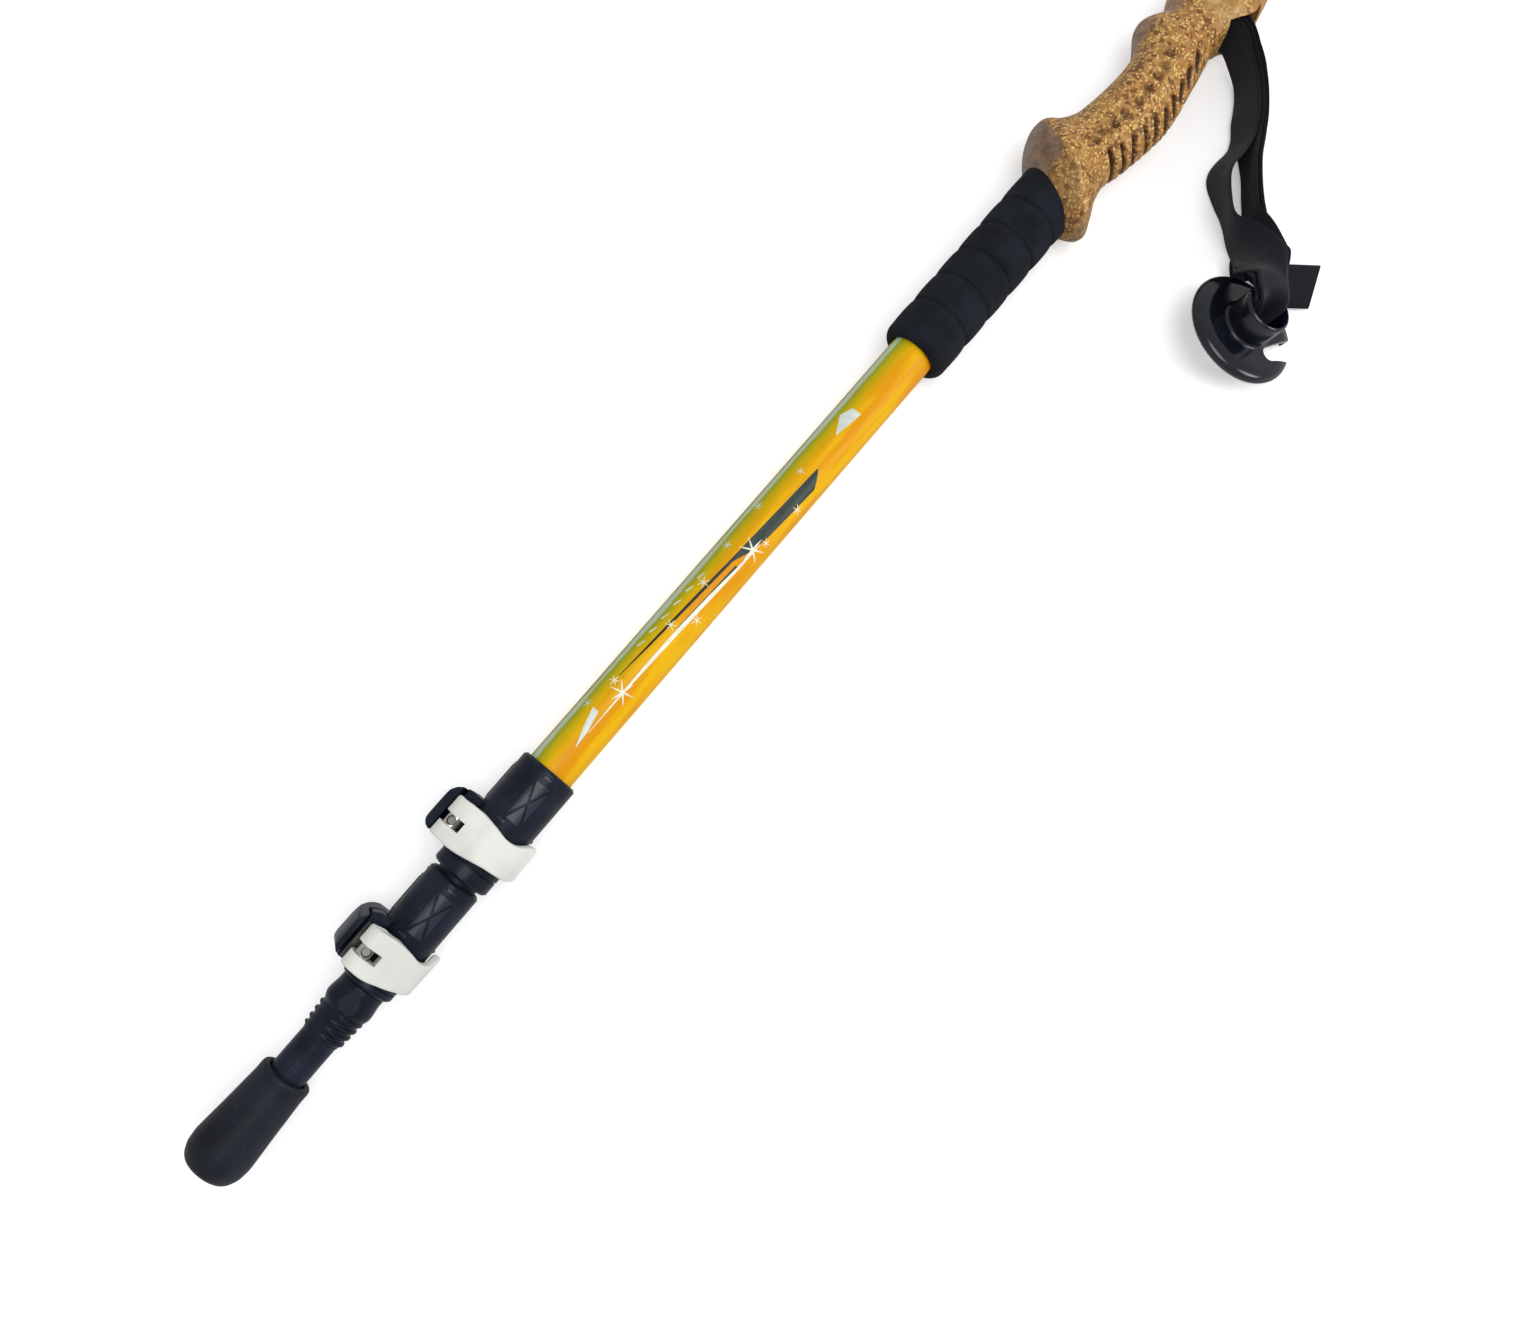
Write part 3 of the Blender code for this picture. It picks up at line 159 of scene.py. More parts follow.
def dress(name, mesh, finish, body, angle):
    outward(mesh)
    smooth_but_for(mesh, angle)
    piece = put_in(name, mesh)
    if finish is not None:
        mesh.materials.append(finish)
    if body is not None:
        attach(piece, body)
    return piece


def surface(name, grid, finish, body, angle=35.0, ring=False, uv=None):
    """Closed skin over a grid of points, rows along and columns round. The ends are closed by a
    point at the middle of the first and last row, or joined to each other where ring is true."""
    rows, cols, _ = grid.shape
    co = grid.reshape(-1, 3)
    j = np.arange(cols)
    k = (j + 1) % cols
    row = np.arange(rows if ring else rows - 1)[:, None]
    up = (row + 1) % rows * cols
    row = row * cols
    faces = np.stack([row + j, row + k, up + k, up + j], axis=-1).reshape(-1, 4).tolist()
    if not ring:
        first, last = rows * cols, rows * cols + 1
        co = np.concatenate([co, grid[:1].mean(axis=1), grid[-1:].mean(axis=1)])
        faces += np.stack([np.full(cols, first), k, j], axis=1).tolist()
        top = (rows - 1) * cols
        faces += np.stack([np.full(cols, last), top + j, top + k], axis=1).tolist()
    mesh = bpy.data.meshes.new(name)
    mesh.from_pydata((co * MM).tolist(), [], faces)
    if uv is not None:
        flat = np.concatenate([uv.reshape(-1, 2), uv[:1].mean(axis=1), uv[-1:].mean(axis=1)])
        where = np.zeros(len(mesh.loops), int)
        mesh.loops.foreach_get("vertex_index", where)
        layer = mesh.uv_layers.new(name="UVMap")
        layer.data.foreach_set("uv", flat[where].ravel().astype(np.float32))
    return dress(name, mesh, finish, body, angle)


def turned(name, profile, finish, body, sides, angle=35.0, ring=False):
    """Profile of (x, r) points carried round the X axis: y = r cos a, z = r sin a."""
    profile = np.asarray(profile, float)
    grid = about_axis(profile[:, :1], profile[:, 1:], around(sides))
    return surface(name, grid, finish, body, angle, ring)


def carve(piece, angle, *cutters):
    """Cut the closed shapes out of the piece, use them up and shade what is left."""
    for cutter in cutters:
        step = piece.modifiers.new("carve", "BOOLEAN")
        step.operation = "DIFFERENCE"
        step.solver = "EXACT"
        step.object = cutter
    bpy.context.view_layer.update()
    graph = bpy.context.evaluated_depsgraph_get()
    mesh = bpy.data.meshes.new_from_object(piece.evaluated_get(graph), depsgraph=graph)
    piece.modifiers.clear()
    piece.data = mesh
    for cutter in cutters:
        bpy.data.objects.remove(cutter, do_unlink=True)
    smooth_but_for(mesh, angle)


def prism(name, outline, low, high, place=lambda p: p):
    """Closed straight-sided cutter: the outline at heights low and high, put through place."""
    pts = np.asarray(outline, float)
    levels = [place(np.column_stack([pts, np.full(len(pts), z)])) for z in (low, high)]
    return surface(name, np.stack(levels), None, None)


def fair_copy(node, name, finish, edge, body, angle=32.0):
    """Copy of a solid, its loose triangles merged into flats, with every sharp edge rounded."""
    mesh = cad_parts[node].data.copy()
    mesh.name = name
    work = bmesh.new()
    work.from_mesh(mesh)
    bmesh.ops.remove_doubles(work, verts=work.verts, dist=0.004 * MM)
    bmesh.ops.dissolve_limit(work, angle_limit=math.radians(1.0), verts=work.verts,
                             edges=work.edges)
    work.to_mesh(mesh)
    work.free()
    mesh.materials.clear()
    piece = dress(name, mesh, finish, body, angle)
    soft = piece.modifiers.new("soft_edges", "BEVEL")
    soft.width = edge * MM
    soft.segments = 2
    soft.limit_method = "ANGLE"
    soft.angle_limit = math.radians(angle)
    soft.harden_normals = False
    soft.miter_outer = "MITER_ARC"
    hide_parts(node)


# Nodes

class Bench:
    """Short ways to add nodes to one tree."""

    def __init__(self, tree):
        self.nodes, self.links = tree.nodes, tree.links
        self.coordinates = None

    def add(self, kind, **settings):
        node = self.nodes.new("ShaderNode" + kind)
        for key, value in settings.items():
            setattr(node, key, value)
        return node

    def join(self, value, socket):
        """Link a socket, or write a plain number."""
        if isinstance(value, bpy.types.NodeSocket):
            self.links.new(value, socket)
        else:
            socket.default_value = value

    def fed(self, node, **values):
        """Outputs of a node whose inputs take the values by their labels."""
        for label, value in values.items():
            self.join(value, node.inputs[label])
        return node.outputs

    def place(self):
        if self.coordinates is None:
            self.coordinates = self.add("TexCoord")
        return self.coordinates.outputs["Object"]

    def maths(self, operation, a, b=0.0, c=0.0, clamp=False):
        node = self.add("Math", operation=operation, use_clamp=clamp)
        for socket, value in zip(node.inputs, (a, b, c)):
            self.join(value, socket)
        return node.outputs[0]

    def times(self, product, *factors, clamp=False):
        for factor in factors:
            product = self.maths("MULTIPLY", product, factor, clamp=clamp)
        return product

    def plus(self, a, b, clamp=False):
        return self.maths("ADD", a, b, clamp=clamp)

    def linear(self, value, slope, base, clamp=False):
        return self.maths("MULTIPLY_ADD", value, slope, base, clamp)

    def off(self, value, middle):
        """How far a value is from the middle one."""
        return self.maths("ABSOLUTE", self.maths("SUBTRACT", value, middle))

    def mix(self, factor, a, b):
        """Mix of two colours, each a socket or a display colour."""
        node = self.add("Mix", data_type="RGBA")
        self.join(factor, node.inputs[0])
        for value, socket in ((a, node.inputs[6]), (b, node.inputs[7])):
            self.join(value if isinstance(value, bpy.types.NodeSocket) else shade(*value), socket)
        return node.outputs[2]

    def tint(self, tone, mask, share, colour):
        """Tone with a share of the colour where the mask is."""
        return self.mix(self.times(mask, share), tone, colour)

    def span(self, value, low, high, to_low=0.0, to_high=1.0):
        """Smooth step from to_low at low to to_high at high."""
        node = self.add("MapRange", interpolation_type="SMOOTHSTEP")
        for label, number in (("Value", value), ("From Min", low), ("From Max", high),
                              ("To Min", to_low), ("To Max", to_high)):
            self.join(number, node.inputs[label])
        return node.outputs["Result"]

    def noise(self, vector, scale, detail, roughness, output="Fac"):
        return self.fed(self.add("TexNoise"), Vector=vector, Scale=scale, Detail=detail,
                        Roughness=roughness)[output]

    def cells(self, vector, scale):
        return self.fed(self.add("TexVoronoi"), Vector=vector, Scale=scale)

    def stretched(self, vector, scale, rotation=(0.0, 0.0, 0.0)):
        return self.fed(self.add("Mapping"), Vector=vector, Scale=scale,
                        Rotation=rotation)["Vector"]

    def split(self, vector):
        return self.fed(self.add("SeparateXYZ"), Vector=vector)

    def use(self, group, **values):
        return self.fed(self.add("Group", node_tree=group), **values)

    def bump(self, height, strength, distance):
        return self.fed(self.add("Bump"), Height=height, Strength=strength,
                        Distance=distance)["Normal"]


def new_finish(name, roughness=0.5, metallic=0.0, specular=0.5):
    mat = bpy.data.materials.new(name)
    mat.use_nodes = True
    shader = mat.node_tree.nodes["Principled BSDF"].inputs
    for label, value in (("Roughness", roughness), ("Metallic", metallic),
                         ("Specular IOR Level", specular)):
        shader[label].default_value = value
    return mat, Bench(mat.node_tree), shader


# Camera, light and ground

CAMERA_AZIMUTH = math.radians(-50.755)
CAMERA_ELEVATION = math.radians(76.042)
CAMERA_PLACE = Vector((167.522, -100.907, 420.584))
SENSOR_WIDTH = 36.0
PHOTO_WIDTH = 1536.0
FOCAL_PIXELS = 1200.0


def make_camera():
    """Pinhole camera at the photograph's place: right is R, up is U and it looks along L."""
    az, el = CAMERA_AZIMUTH, CAMERA_ELEVATION
    right = Vector((math.cos(az), math.sin(az), 0.0))
    level = Vector((-math.sin(az), math.cos(az), 0.0))
    look = math.cos(el) * level + Vector((0.0, 0.0, -math.sin(el)))
    data = bpy.data.cameras.new("camera")
    data.sensor_fit = "HORIZONTAL"
    data.sensor_width = SENSOR_WIDTH
    data.lens = SENSOR_WIDTH * FOCAL_PIXELS / PHOTO_WIDTH
    data.clip_start = 0.01
    camera = put_in("camera", data)
    place = Matrix((right, right.cross(look), -look)).transposed().to_4x4()
    place.translation = CAMERA_PLACE * MM
    camera.matrix_world = place
    bpy.context.scene.camera = camera


def lamp(name, place, aim, size, power):
    data = bpy.data.lights.new(name, "AREA")
    data.shape = "DISK"
    data.size = size
    data.energy = power
    lit = put_in(name, data)
    lit.location = place
    lit.rotation_euler = (Vector(aim) - Vector(place)).to_track_quat("-Z", "Y").to_euler()


def make_light():
    """Two lamps, and a sky that lights the pole less than it shows to the camera."""
    lamp("overhead_lamp", (0.25, -0.35, 1.1), (0.3, 0.0, 0.0), 0.7, 4.7)
    lamp("side_lamp", (0.7, -0.8, 0.42), (0.3, -0.02, 0.0), 0.4, 2.3)
    world = bpy.data.worlds.new("studio")
    world.use_nodes = True
    b = Bench(world.node_tree)
    sky = b.nodes["Background"].inputs
    seen = b.add("LightPath").outputs["Is Camera Ray"]
    b.join(b.span(seen, 0.0, 1.0, 0.56, 1.0), sky["Strength"])
    sky["Color"].default_value = (0.97, 0.985, 1.0, 1.0)
    bpy.context.scene.world = world


def make_floor():
    """Ground that the camera sees white and a little glowing, and that other rays see grey."""
    low = cad_box[0][2]
    verts = [(-4.0, -4.0, low), (5.0, -4.0, low), (5.0, 4.0, low), (-4.0, 4.0, low)]
    mesh = bpy.data.meshes.new("ground")
    mesh.from_pydata(verts, [], [(0, 1, 2, 3)])
    ground = put_in("ground", mesh)
    mat, b, shader = new_finish("ground", 0.9, 0.0, 0.1)
    shader["Emission Color"].default_value = (1.0, 1.0, 1.0, 1.0)
    ray = b.add("LightPath").outputs
    seen = b.maths("MAXIMUM", ray["Is Camera Ray"], ray["Is Transmission Ray"])
    b.join(b.linear(seen, 0.28, 0.72), shader["Base Color"])
    b.join(b.times(seen, 0.34), shader["Emission Strength"])
    mesh.materials.append(mat)


make_camera()
make_light()
make_floor()


# Shader groups: each gives masks, values or colours only

def new_group(name, label, value, outputs):
    """Group that takes a place and one more number, and gives numbers."""
    group = bpy.data.node_groups.new(name, "ShaderNodeTree")
    socket = group.interface.new_socket
    socket(name="Vector", in_out="INPUT", socket_type="NodeSocketVector")
    socket(name=label, in_out="INPUT", socket_type="NodeSocketFloat").default_value = value
    for output in outputs:
        socket(name=output, in_out="OUTPUT", socket_type="NodeSocketFloat")
    given = group.nodes.new("NodeGroupInput").outputs
    return group, Bench(group), given, group.nodes.new("NodeGroupOutput").inputs


def make_grain_group():
    """Fine moulded grain: two noises added, the broad one about 17 times as large as the fine one.
    Height is about 0..1 and Patch is the broad noise alone."""
    group, b, given, out = new_group("moulded_grain", "Scale", 900.0, ("Height", "Patch"))
    fine = b.noise(given["Vector"], given["Scale"], 4.0, 0.6)
    broad = b.noise(given["Vector"], b.times(given["Scale"], 0.06), 3.0, 0.5)
    b.join(b.linear(broad, 0.5, b.times(fine, 0.5)), out["Height"])
    b.join(broad, out["Patch"])
    return group


def make_wear_group():
    """Handling marks: hairlines from a noise stretched along the shaft, and pale dust in broad
    patches. Amount raises both; the outputs are masks from 0 to 1."""
    group, b, given, out = new_group("handling_wear", "Amount", 0.3, ("Hairlines", "Dust"))
    place = b.stretched(given["Vector"], (0.12, 1.0, 1.0), (0.0, 0.25, 0.35))
    line = b.span(b.noise(place, 1700.0, 2.0, 0.6), 0.66, 0.74)
    b.join(b.times(line, given["Amount"], clamp=True), out["Hairlines"])
    patch = b.noise(given["Vector"], 75.0, 5.0, 0.65)
    speck = b.noise(given["Vector"], 2600.0, 1.0, 0.5)
    dust = b.times(b.span(patch, 0.45, 0.75), b.span(speck, 0.5, 0.72))
    b.join(b.times(dust, given["Amount"], clamp=True), out["Dust"])
    return group


def make_fleck_group():
    """Cork-like crumbs: cells of two sizes with places warped by a noise, each cell with its own
    random value. Gold is the mask of bright crumbs, Dark of deep ones, Tone a value for each crumb
    and Height their relief."""
    group, b, given, out = new_group("cork_crumbs", "Scale", 900.0,
                                     ("Gold", "Dark", "Tone", "Height"))
    bend = b.add("VectorMath", operation="MULTIPLY_ADD")
    warp = b.noise(given["Vector"], 420.0, 2.0, 0.5, "Color")
    for value, socket in zip((warp, (0.0012, 0.0012, 0.0012), given["Vector"]), bend.inputs):
        b.join(value, socket)
    big = b.cells(bend.outputs[0], given["Scale"])
    small = b.cells(bend.outputs[0], b.times(given["Scale"], 1.9))
    one, two = b.split(big["Color"]), b.split(small["Color"])
    lift = b.linear(b.noise(given["Vector"], 130.0, 3.0, 0.6), 0.5, -0.25)
    gold = b.span(b.plus(two[0], lift), 0.66, 0.8)
    b.join(b.times(gold, b.span(small["Distance"], 0.72, 0.4)), out["Gold"])
    b.join(b.span(b.maths("SUBTRACT", one[1], lift), 0.66, 0.8), out["Dark"])
    b.join(b.linear(one[2], 0.6, b.times(two[1], 0.4)), out["Tone"])
    b.join(b.linear(big["Distance"], -0.6, b.times(small["Distance"], -0.5)), out["Height"])
    return group


def make_weave_group():
    """Webbing from its own map, x across in widths and y along in widths: ribs along it, |sin| of
    the place across, broken by crossing picks, |sin| of the place along, shifted by half a pick
    from rib to rib. Edge is the mask of the selvages."""
    group, b, given, out = new_group("webbing_weave", "Ribs", 20.0, ("Height", "Edge"))
    part = b.split(given["Vector"])
    across = b.times(part[0], given["Ribs"])
    step = b.times(b.maths("FLOOR", across), math.pi * 0.5)
    rib, pick = (b.maths("ABSOLUTE", b.maths("SINE", phase))
                 for phase in (b.times(across, math.pi), b.linear(part[1], 75.0, step)))
    b.join(b.linear(rib, 0.6, b.times(pick, 0.4)), out["Height"])
    b.join(b.span(b.off(part[0], 0.5), 0.40, 0.43), out["Edge"])
    return group


GRAIN = make_grain_group()
WEAR = make_wear_group()
CRUMBS = make_fleck_group()
WEAVE = make_weave_group()


# Finishes: colours are display colours, depths and places are in metres

GRIP_X = 465.2


def moulded(name, dark, pale, roughness, specular, grain, depth, wear, dust):
    """Moulded plastic or rubber: patchy tone between two colours, fine grain, hairlines, dust."""
    mat, b, shader = new_finish(name, roughness, 0.0, specular)
    grained = b.use(GRAIN, Vector=b.place(), Scale=grain)
    marks = b.use(WEAR, Vector=b.place(), Amount=wear)
    tone = b.mix(b.span(grained["Patch"], 0.35, 0.65), dark, pale)
    tone = b.tint(tone, marks["Hairlines"], 0.25, dust)
    b.join(b.tint(tone, marks["Dust"], 0.35, dust), shader["Base Color"])
    rough = b.linear(grained["Patch"], 0.16, roughness - 0.08)
    b.join(b.plus(rough, b.times(marks["Dust"], 0.25), clamp=True), shader["Roughness"])
    b.join(b.bump(grained["Height"], 0.6, depth), shader["Normal"])
    return mat


def brushed(name, colour, roughness, stretch=(0.05, 1.0, 1.0), strength=0.3):
    """Metal with fine lines: a noise stretched along one axis drives tone, roughness and relief."""
    mat, b, shader = new_finish(name, roughness, 1.0)
    line = b.noise(b.stretched(b.place(), stretch), 2600.0, 4.0, 0.6)
    stain = b.span(b.noise(b.place(), 160.0, 4.0, 0.6), 0.55, 0.8)
    tone = b.tint(colour, line, 0.35, [c * 0.72 for c in colour])
    b.join(b.tint(tone, stain, 0.4, [c * 0.55 for c in colour]), shader["Base Color"])
    b.join(b.linear(line, 0.2, roughness - 0.08, clamp=True), shader["Roughness"])
    b.join(b.bump(line, strength, 0.00003), shader["Normal"])
    return mat


def make_cork():
    """Speckled crumbs in brown and gold. Plum-brown and smooth on the finger side of the flange and
    ridge. Painted highlights: a pale smooth patch on the top of the head, and a lighter line along
    the ridge on the strap side. Painted shade: a darker band on the foam side of the flange, under
    that ridge, and darker colour in the dimples and slits. Lean is the place along the shaft above
    the grip's base, less the flange's slant."""
    mat, b, shader = new_finish("speckled_cork", 0.5, 0.0, 0.35)
    crumb = b.use(CRUMBS, Vector=b.place(), Scale=560.0)
    x, y, z = b.split(b.place())
    cloud = b.noise(b.place(), 190.0, 4.0, 0.6)
    broad = b.span(b.noise(b.place(), 75.0, 3.0, 0.5), 0.47, 0.64)
    lean = b.linear(y, -0.6, b.plus(x, -GRIP_X * MM))
    strap_side = b.span(y, 0.0075, 0.0040)
    # Painted shade: a darker band under the ridge, on the foam side of the flange.
    under = b.times(strap_side, b.span(lean, 0.0108, 0.0090), b.span(x, 0.4890, 0.4870))
    # Painted highlight: a lighter line along the ridge on the strap side.
    ridge = b.times(strap_side, b.span(b.off(lean, 0.0117), 0.0017, 0.0005))
    tone = b.mix(crumb["Tone"], (146, 100, 46), (204, 154, 86))
    for area, share, colour in (
            (broad, 0.35, (164, 100, 48)), (crumb["Dark"], 0.7, (96, 56, 26)),
            # Of these tints, under is painted shade below the ridge and ridge is a painted
            # highlight on it.
            (crumb["Gold"], 0.95, (238, 198, 122)), (under, 0.45, (88, 58, 24)),
            (ridge, 0.25, (206, 162, 96))):
        tone = b.tint(tone, area, share, colour)

    uneven = b.plus(y, b.linear(cloud, 0.006, -0.003))
    flange = b.times(b.span(uneven, 0.0020, 0.0060), b.span(lean, 0.0116, 0.0092))
    finger = b.times(b.span(y, 0.0095, 0.0130), b.span(x, 0.5370, 0.5415),
                     b.span(x, 0.5590, 0.5550))
    tip = b.times(b.span(y, -0.0165, -0.0198), b.span(x, 0.5000, 0.4960))
    pink = b.times(b.span(y, 0.0062, 0.0098), b.span(x, 0.5590, 0.5635))
    # Painted highlight: a pale smooth patch on the top of the head, built from here to the pale
    # mask.
    dx, dy = b.plus(x, -0.5765), b.plus(y, 0.0045)
    away = b.maths("SQRT", b.plus(b.times(dx, dx), b.times(dy, dy, 0.6)))
    pale = b.times(b.span(away, 0.0095, 0.0040), b.span(z, 0.004, 0.009))
    corner = b.times(b.span(y, -0.0110, -0.0150), b.span(x, 0.5780, 0.5840))
    patchy = b.span(cloud, 0.35, 0.68)
    for area, share, one, two in (
            (flange, 0.92, (98, 76, 62), (140, 114, 96)),
            (finger, 0.85, (104, 80, 66), (146, 118, 98)),
            (tip, 0.7, (128, 102, 74), (168, 142, 110)),
            (pink, 0.8, (140, 104, 78), (186, 150, 122)),
            # The pale tint is a painted highlight on the head's top.
            (pale, 0.7, (178, 136, 76), (214, 180, 124)),
            (corner, 0.55, (160, 106, 52), (196, 146, 86))):
        tone = b.mix(b.times(area, share), tone, b.mix(patchy, one, two))
    # Painted shade: darker colour in the dimples and slits, from the mask stored on the grip.
    recess_shade = b.add("Attribute", attribute_name="recess_shade").outputs["Fac"]
    b.join(b.tint(tone, recess_shade, 0.92, (52, 24, 12)), shader["Base Color"])
    smooth = b.plus(b.plus(flange, finger), b.plus(pink, pale), clamp=True)
    b.join(b.span(smooth, 0.0, 1.0, 0.5, 0.34), shader["Roughness"])
    rise = b.times(crumb["Height"], b.linear(smooth, -0.85, 1.0))
    b.join(b.bump(rise, 0.5, 0.0003), shader["Normal"])
    return mat


def make_foam():
    """Closed-cell foam: tiny pores from cell distances, matt, blue-black."""
    mat, b, shader = new_finish("black_foam", 0.92, 0.0, 0.18)
    pore = b.cells(b.place(), 2300.0)["Distance"]
    broad = b.noise(b.place(), 90.0, 4.0, 0.6)
    marks = b.use(WEAR, Vector=b.place(), Amount=0.3)
    tone = b.mix(b.span(broad, 0.3, 0.7), (20, 23, 28), (30, 34, 42))
    tone = b.tint(tone, b.span(pore, 0.32, 0.12), 0.55, (12, 13, 16))
    b.join(b.tint(tone, marks["Dust"], 0.3, (96, 98, 104)), shader["Base Color"])
    b.join(b.bump(pore, 0.45, 0.00022), shader["Normal"])
    return mat


def make_yellow():
    """Orange-yellow lacquer with streaks along the shaft. The angle round the tube, from z and y,
    brings in olive, green and a silver line along the finger side, moved by a slow noise. The
    silver line is a painted reflection."""
    mat, b, shader = new_finish("yellow_lacquer", 0.42, 0.0, 0.14)
    _, y, z = b.split(b.place())
    cloud = b.noise(b.place(), 42.0, 4.0, 0.6)
    off = b.off(b.maths("ARCTAN2", z, y), math.radians(43.0))
    off = b.plus(off, b.linear(cloud, 0.36, -0.18))
    streak = b.noise(b.stretched(b.place(), (0.12, 1.0, 1.0)), 170.0, 3.0, 0.5)
    marks = b.use(WEAR, Vector=b.place(), Amount=0.35)
    tone = b.mix(b.span(streak, 0.38, 0.62), (230, 154, 0), (242, 186, 0))
    for area, share, colour in (
            (b.span(off, 0.98, 0.42), 0.85, (200, 176, 2)),
            (b.span(off, 0.52, 0.20), 0.8, (146, 166, 34)),
            # Silver line: painted reflection along the tube.
            (b.span(off, 0.20, 0.08), 0.85, (200, 210, 196)),
            (marks["Hairlines"], 0.16, (255, 222, 120))):
        tone = b.tint(tone, area, share, colour)
    b.join(tone, shader["Base Color"])
    fine = b.noise(b.place(), 1500.0, 3.0, 0.5)
    b.join(b.linear(fine, 0.12, 0.36), shader["Roughness"])
    shader["Coat Weight"].default_value = 0.03
    shader["Coat Roughness"].default_value = 0.2
    b.join(b.bump(fine, 0.12, 0.00005), shader["Normal"])
    return mat


def make_ink(name, one, two, roughness=0.4):
    """Printed ink, patchy between two colours, with hairlines that show the lacquer."""
    mat, b, shader = new_finish(name, roughness)
    cloud = b.noise(b.place(), 260.0, 4.0, 0.6)
    marks = b.use(WEAR, Vector=b.place(), Amount=0.4)
    tone = b.mix(b.span(cloud, 0.35, 0.65), one, two)
    b.join(b.tint(tone, marks["Hairlines"], 0.3, (216, 176, 40)), shader["Base Color"])
    b.join(b.linear(cloud, 0.14, roughness - 0.07), shader["Roughness"])
    return mat


def make_webbing():
    """Black woven tape read from its own map, with a flat selvage and a little lint."""
    mat, b, shader = new_finish("black_webbing", 0.85, 0.0, 0.2)
    weave = b.use(WEAVE, Vector=b.add("UVMap").outputs["UV"], Ribs=22.0)
    lint = b.noise(b.place(), 2400.0, 4.0, 0.7)
    broad = b.noise(b.place(), 70.0, 3.0, 0.5)
    tone = b.mix(weave["Height"], (8, 8, 15), (24, 23, 37))
    for area, share, colour in (
            (b.span(broad, 0.45, 0.7), 0.4, (16, 21, 24)), (weave["Edge"], 0.35, (16, 17, 20)),
            (b.span(lint, 0.62, 0.8), 0.35, (84, 86, 92))):
        tone = b.tint(tone, area, share, colour)
    b.join(tone, shader["Base Color"])
    shader["Sheen Weight"].default_value = 0.12
    shader["Sheen Roughness"].default_value = 0.5
    b.join(b.bump(b.linear(lint, 0.35, weave["Height"]), 0.7, 0.0003), shader["Normal"])
    return mat


CORK = make_cork()
FOAM = make_foam()
YELLOW = make_yellow()
DARK_INK = make_ink("dark_ink", (10, 34, 30), (16, 48, 40))
LINE_INK = make_ink("line_ink", (12, 16, 14), (20, 26, 22))
PALE_INK = make_ink("pale_ink", (236, 236, 214), (250, 248, 232))
SILVER_INK = make_ink("silver_ink", (206, 216, 206), (228, 234, 226))
WEBBING = make_webbing()
CLAMP = moulded("black_clamp", (15, 21, 33), (24, 32, 47), 0.32, 0.18, 1300.0, 0.00005, 0.35,
                (132, 144, 162))
THREADED = moulded("black_ferrule", (15, 21, 33), (24, 32, 47), 0.30, 0.18, 1300.0, 0.00004, 0.35,
                   (132, 144, 160))
# Lighter copy of the clamps' black plastic: a painted highlight on the raised pads and bars.
RAISED_PAINTED_LIGHTER = moulded("raised_black_painted_lighter", (23, 30, 42), (35, 43, 57), 0.26, 0.32, 1300.0, 0.00003, 0.25,
                 (140, 150, 166))
RUBBER = moulded("black_rubber", (17, 20, 29), (27, 31, 42), 0.46, 0.2, 900.0, 0.00012, 0.45,
                 (122, 128, 140))
WHITE = moulded("white_lever", (224, 225, 217), (235, 235, 228), 0.4, 0.35, 1000.0, 0.00003, 0.3,
                (190, 184, 170))
GLOSSY = moulded("glossy_basket", (8, 10, 20), (15, 18, 32), 0.16, 0.5, 500.0, 0.00004, 0.25,
                 (112, 120, 142))
BUSH = moulded("grey_bush", (44, 46, 48), (58, 60, 62), 0.5, 0.4, 1100.0, 0.00005, 0.2,
               (150, 150, 148))
DARK_TUBE = brushed("dark_anodised_tube", (38, 41, 48), 0.42)
# Cam plates: steel darkened below the other steel, as painted shade in the levers' windows.
PLATE_STEEL_PAINTED_SHADE = brushed("dark_steel_painted_shade", (92, 90, 88), 0.36, (1.0, 0.1, 1.0))
NICKEL = brushed("nickel_plate", (206, 200, 194), 0.2, (1.0, 1.0, 1.0), 0.15)
STEEL = brushed("steel", (168, 166, 162), 0.32, (1.0, 0.1, 1.0))
CARBIDE = brushed("carbide", (140, 142, 146), 0.35, (1.0, 1.0, 1.0), 0.4)


# Places from the solids, and sizes that more than one piece uses

def edges(node):
    low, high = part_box(node)
    return np.array(low) / MM, np.array(high) / MM


TUBE_START = edges("upper_tube")[0][0]
TUBE_END, TUBE_RADIUS, _ = edges("upper_tube")[1]
TUBE_BORE = TUBE_RADIUS - 0.65
FOAM_START = edges("foam_grip")[0][0]
FOOT_TOP = edges("rubber_foot")[1][0]
GAP = 0.3
GRIP_SLANT = 0.405
PIN_RADIUS = 1.25
WEB_WIDTH = 20.0
WEB_THICK = 1.4
WEB_PITCH = 2.0


# Yellow tube and its print

def make_tube():
    """Wall of the upper tube: a ring section with small chamfers, carried round the axis."""
    low, high = TUBE_START, TUBE_END
    out = np.linspace(low + 0.4, high - 0.4, 60)
    start = [(low, TUBE_BORE), (low, TUBE_RADIUS - 0.15), (low + 0.15, TUBE_RADIUS - 0.02)]
    end = [(high - 0.15, TUBE_RADIUS - 0.02), (high, TUBE_RADIUS - 0.15), (high, TUBE_BORE)]
    outer = np.column_stack([out, np.full(60, TUBE_RADIUS)])
    inner = np.column_stack([out[::-12], np.full(5, TUBE_BORE)])
    profile = np.concatenate([start, outer, end, inner])
    tube = turned("yellow_tube", profile, YELLOW, "handle_section", 128, ring=True)
    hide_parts("upper_tube")


def on_tube(x, arc, lift):
    """Point on the tube: x along it, arc in degrees from the finger side over the top."""
    return about_axis(x, TUBE_RADIUS + lift, np.radians(arc))


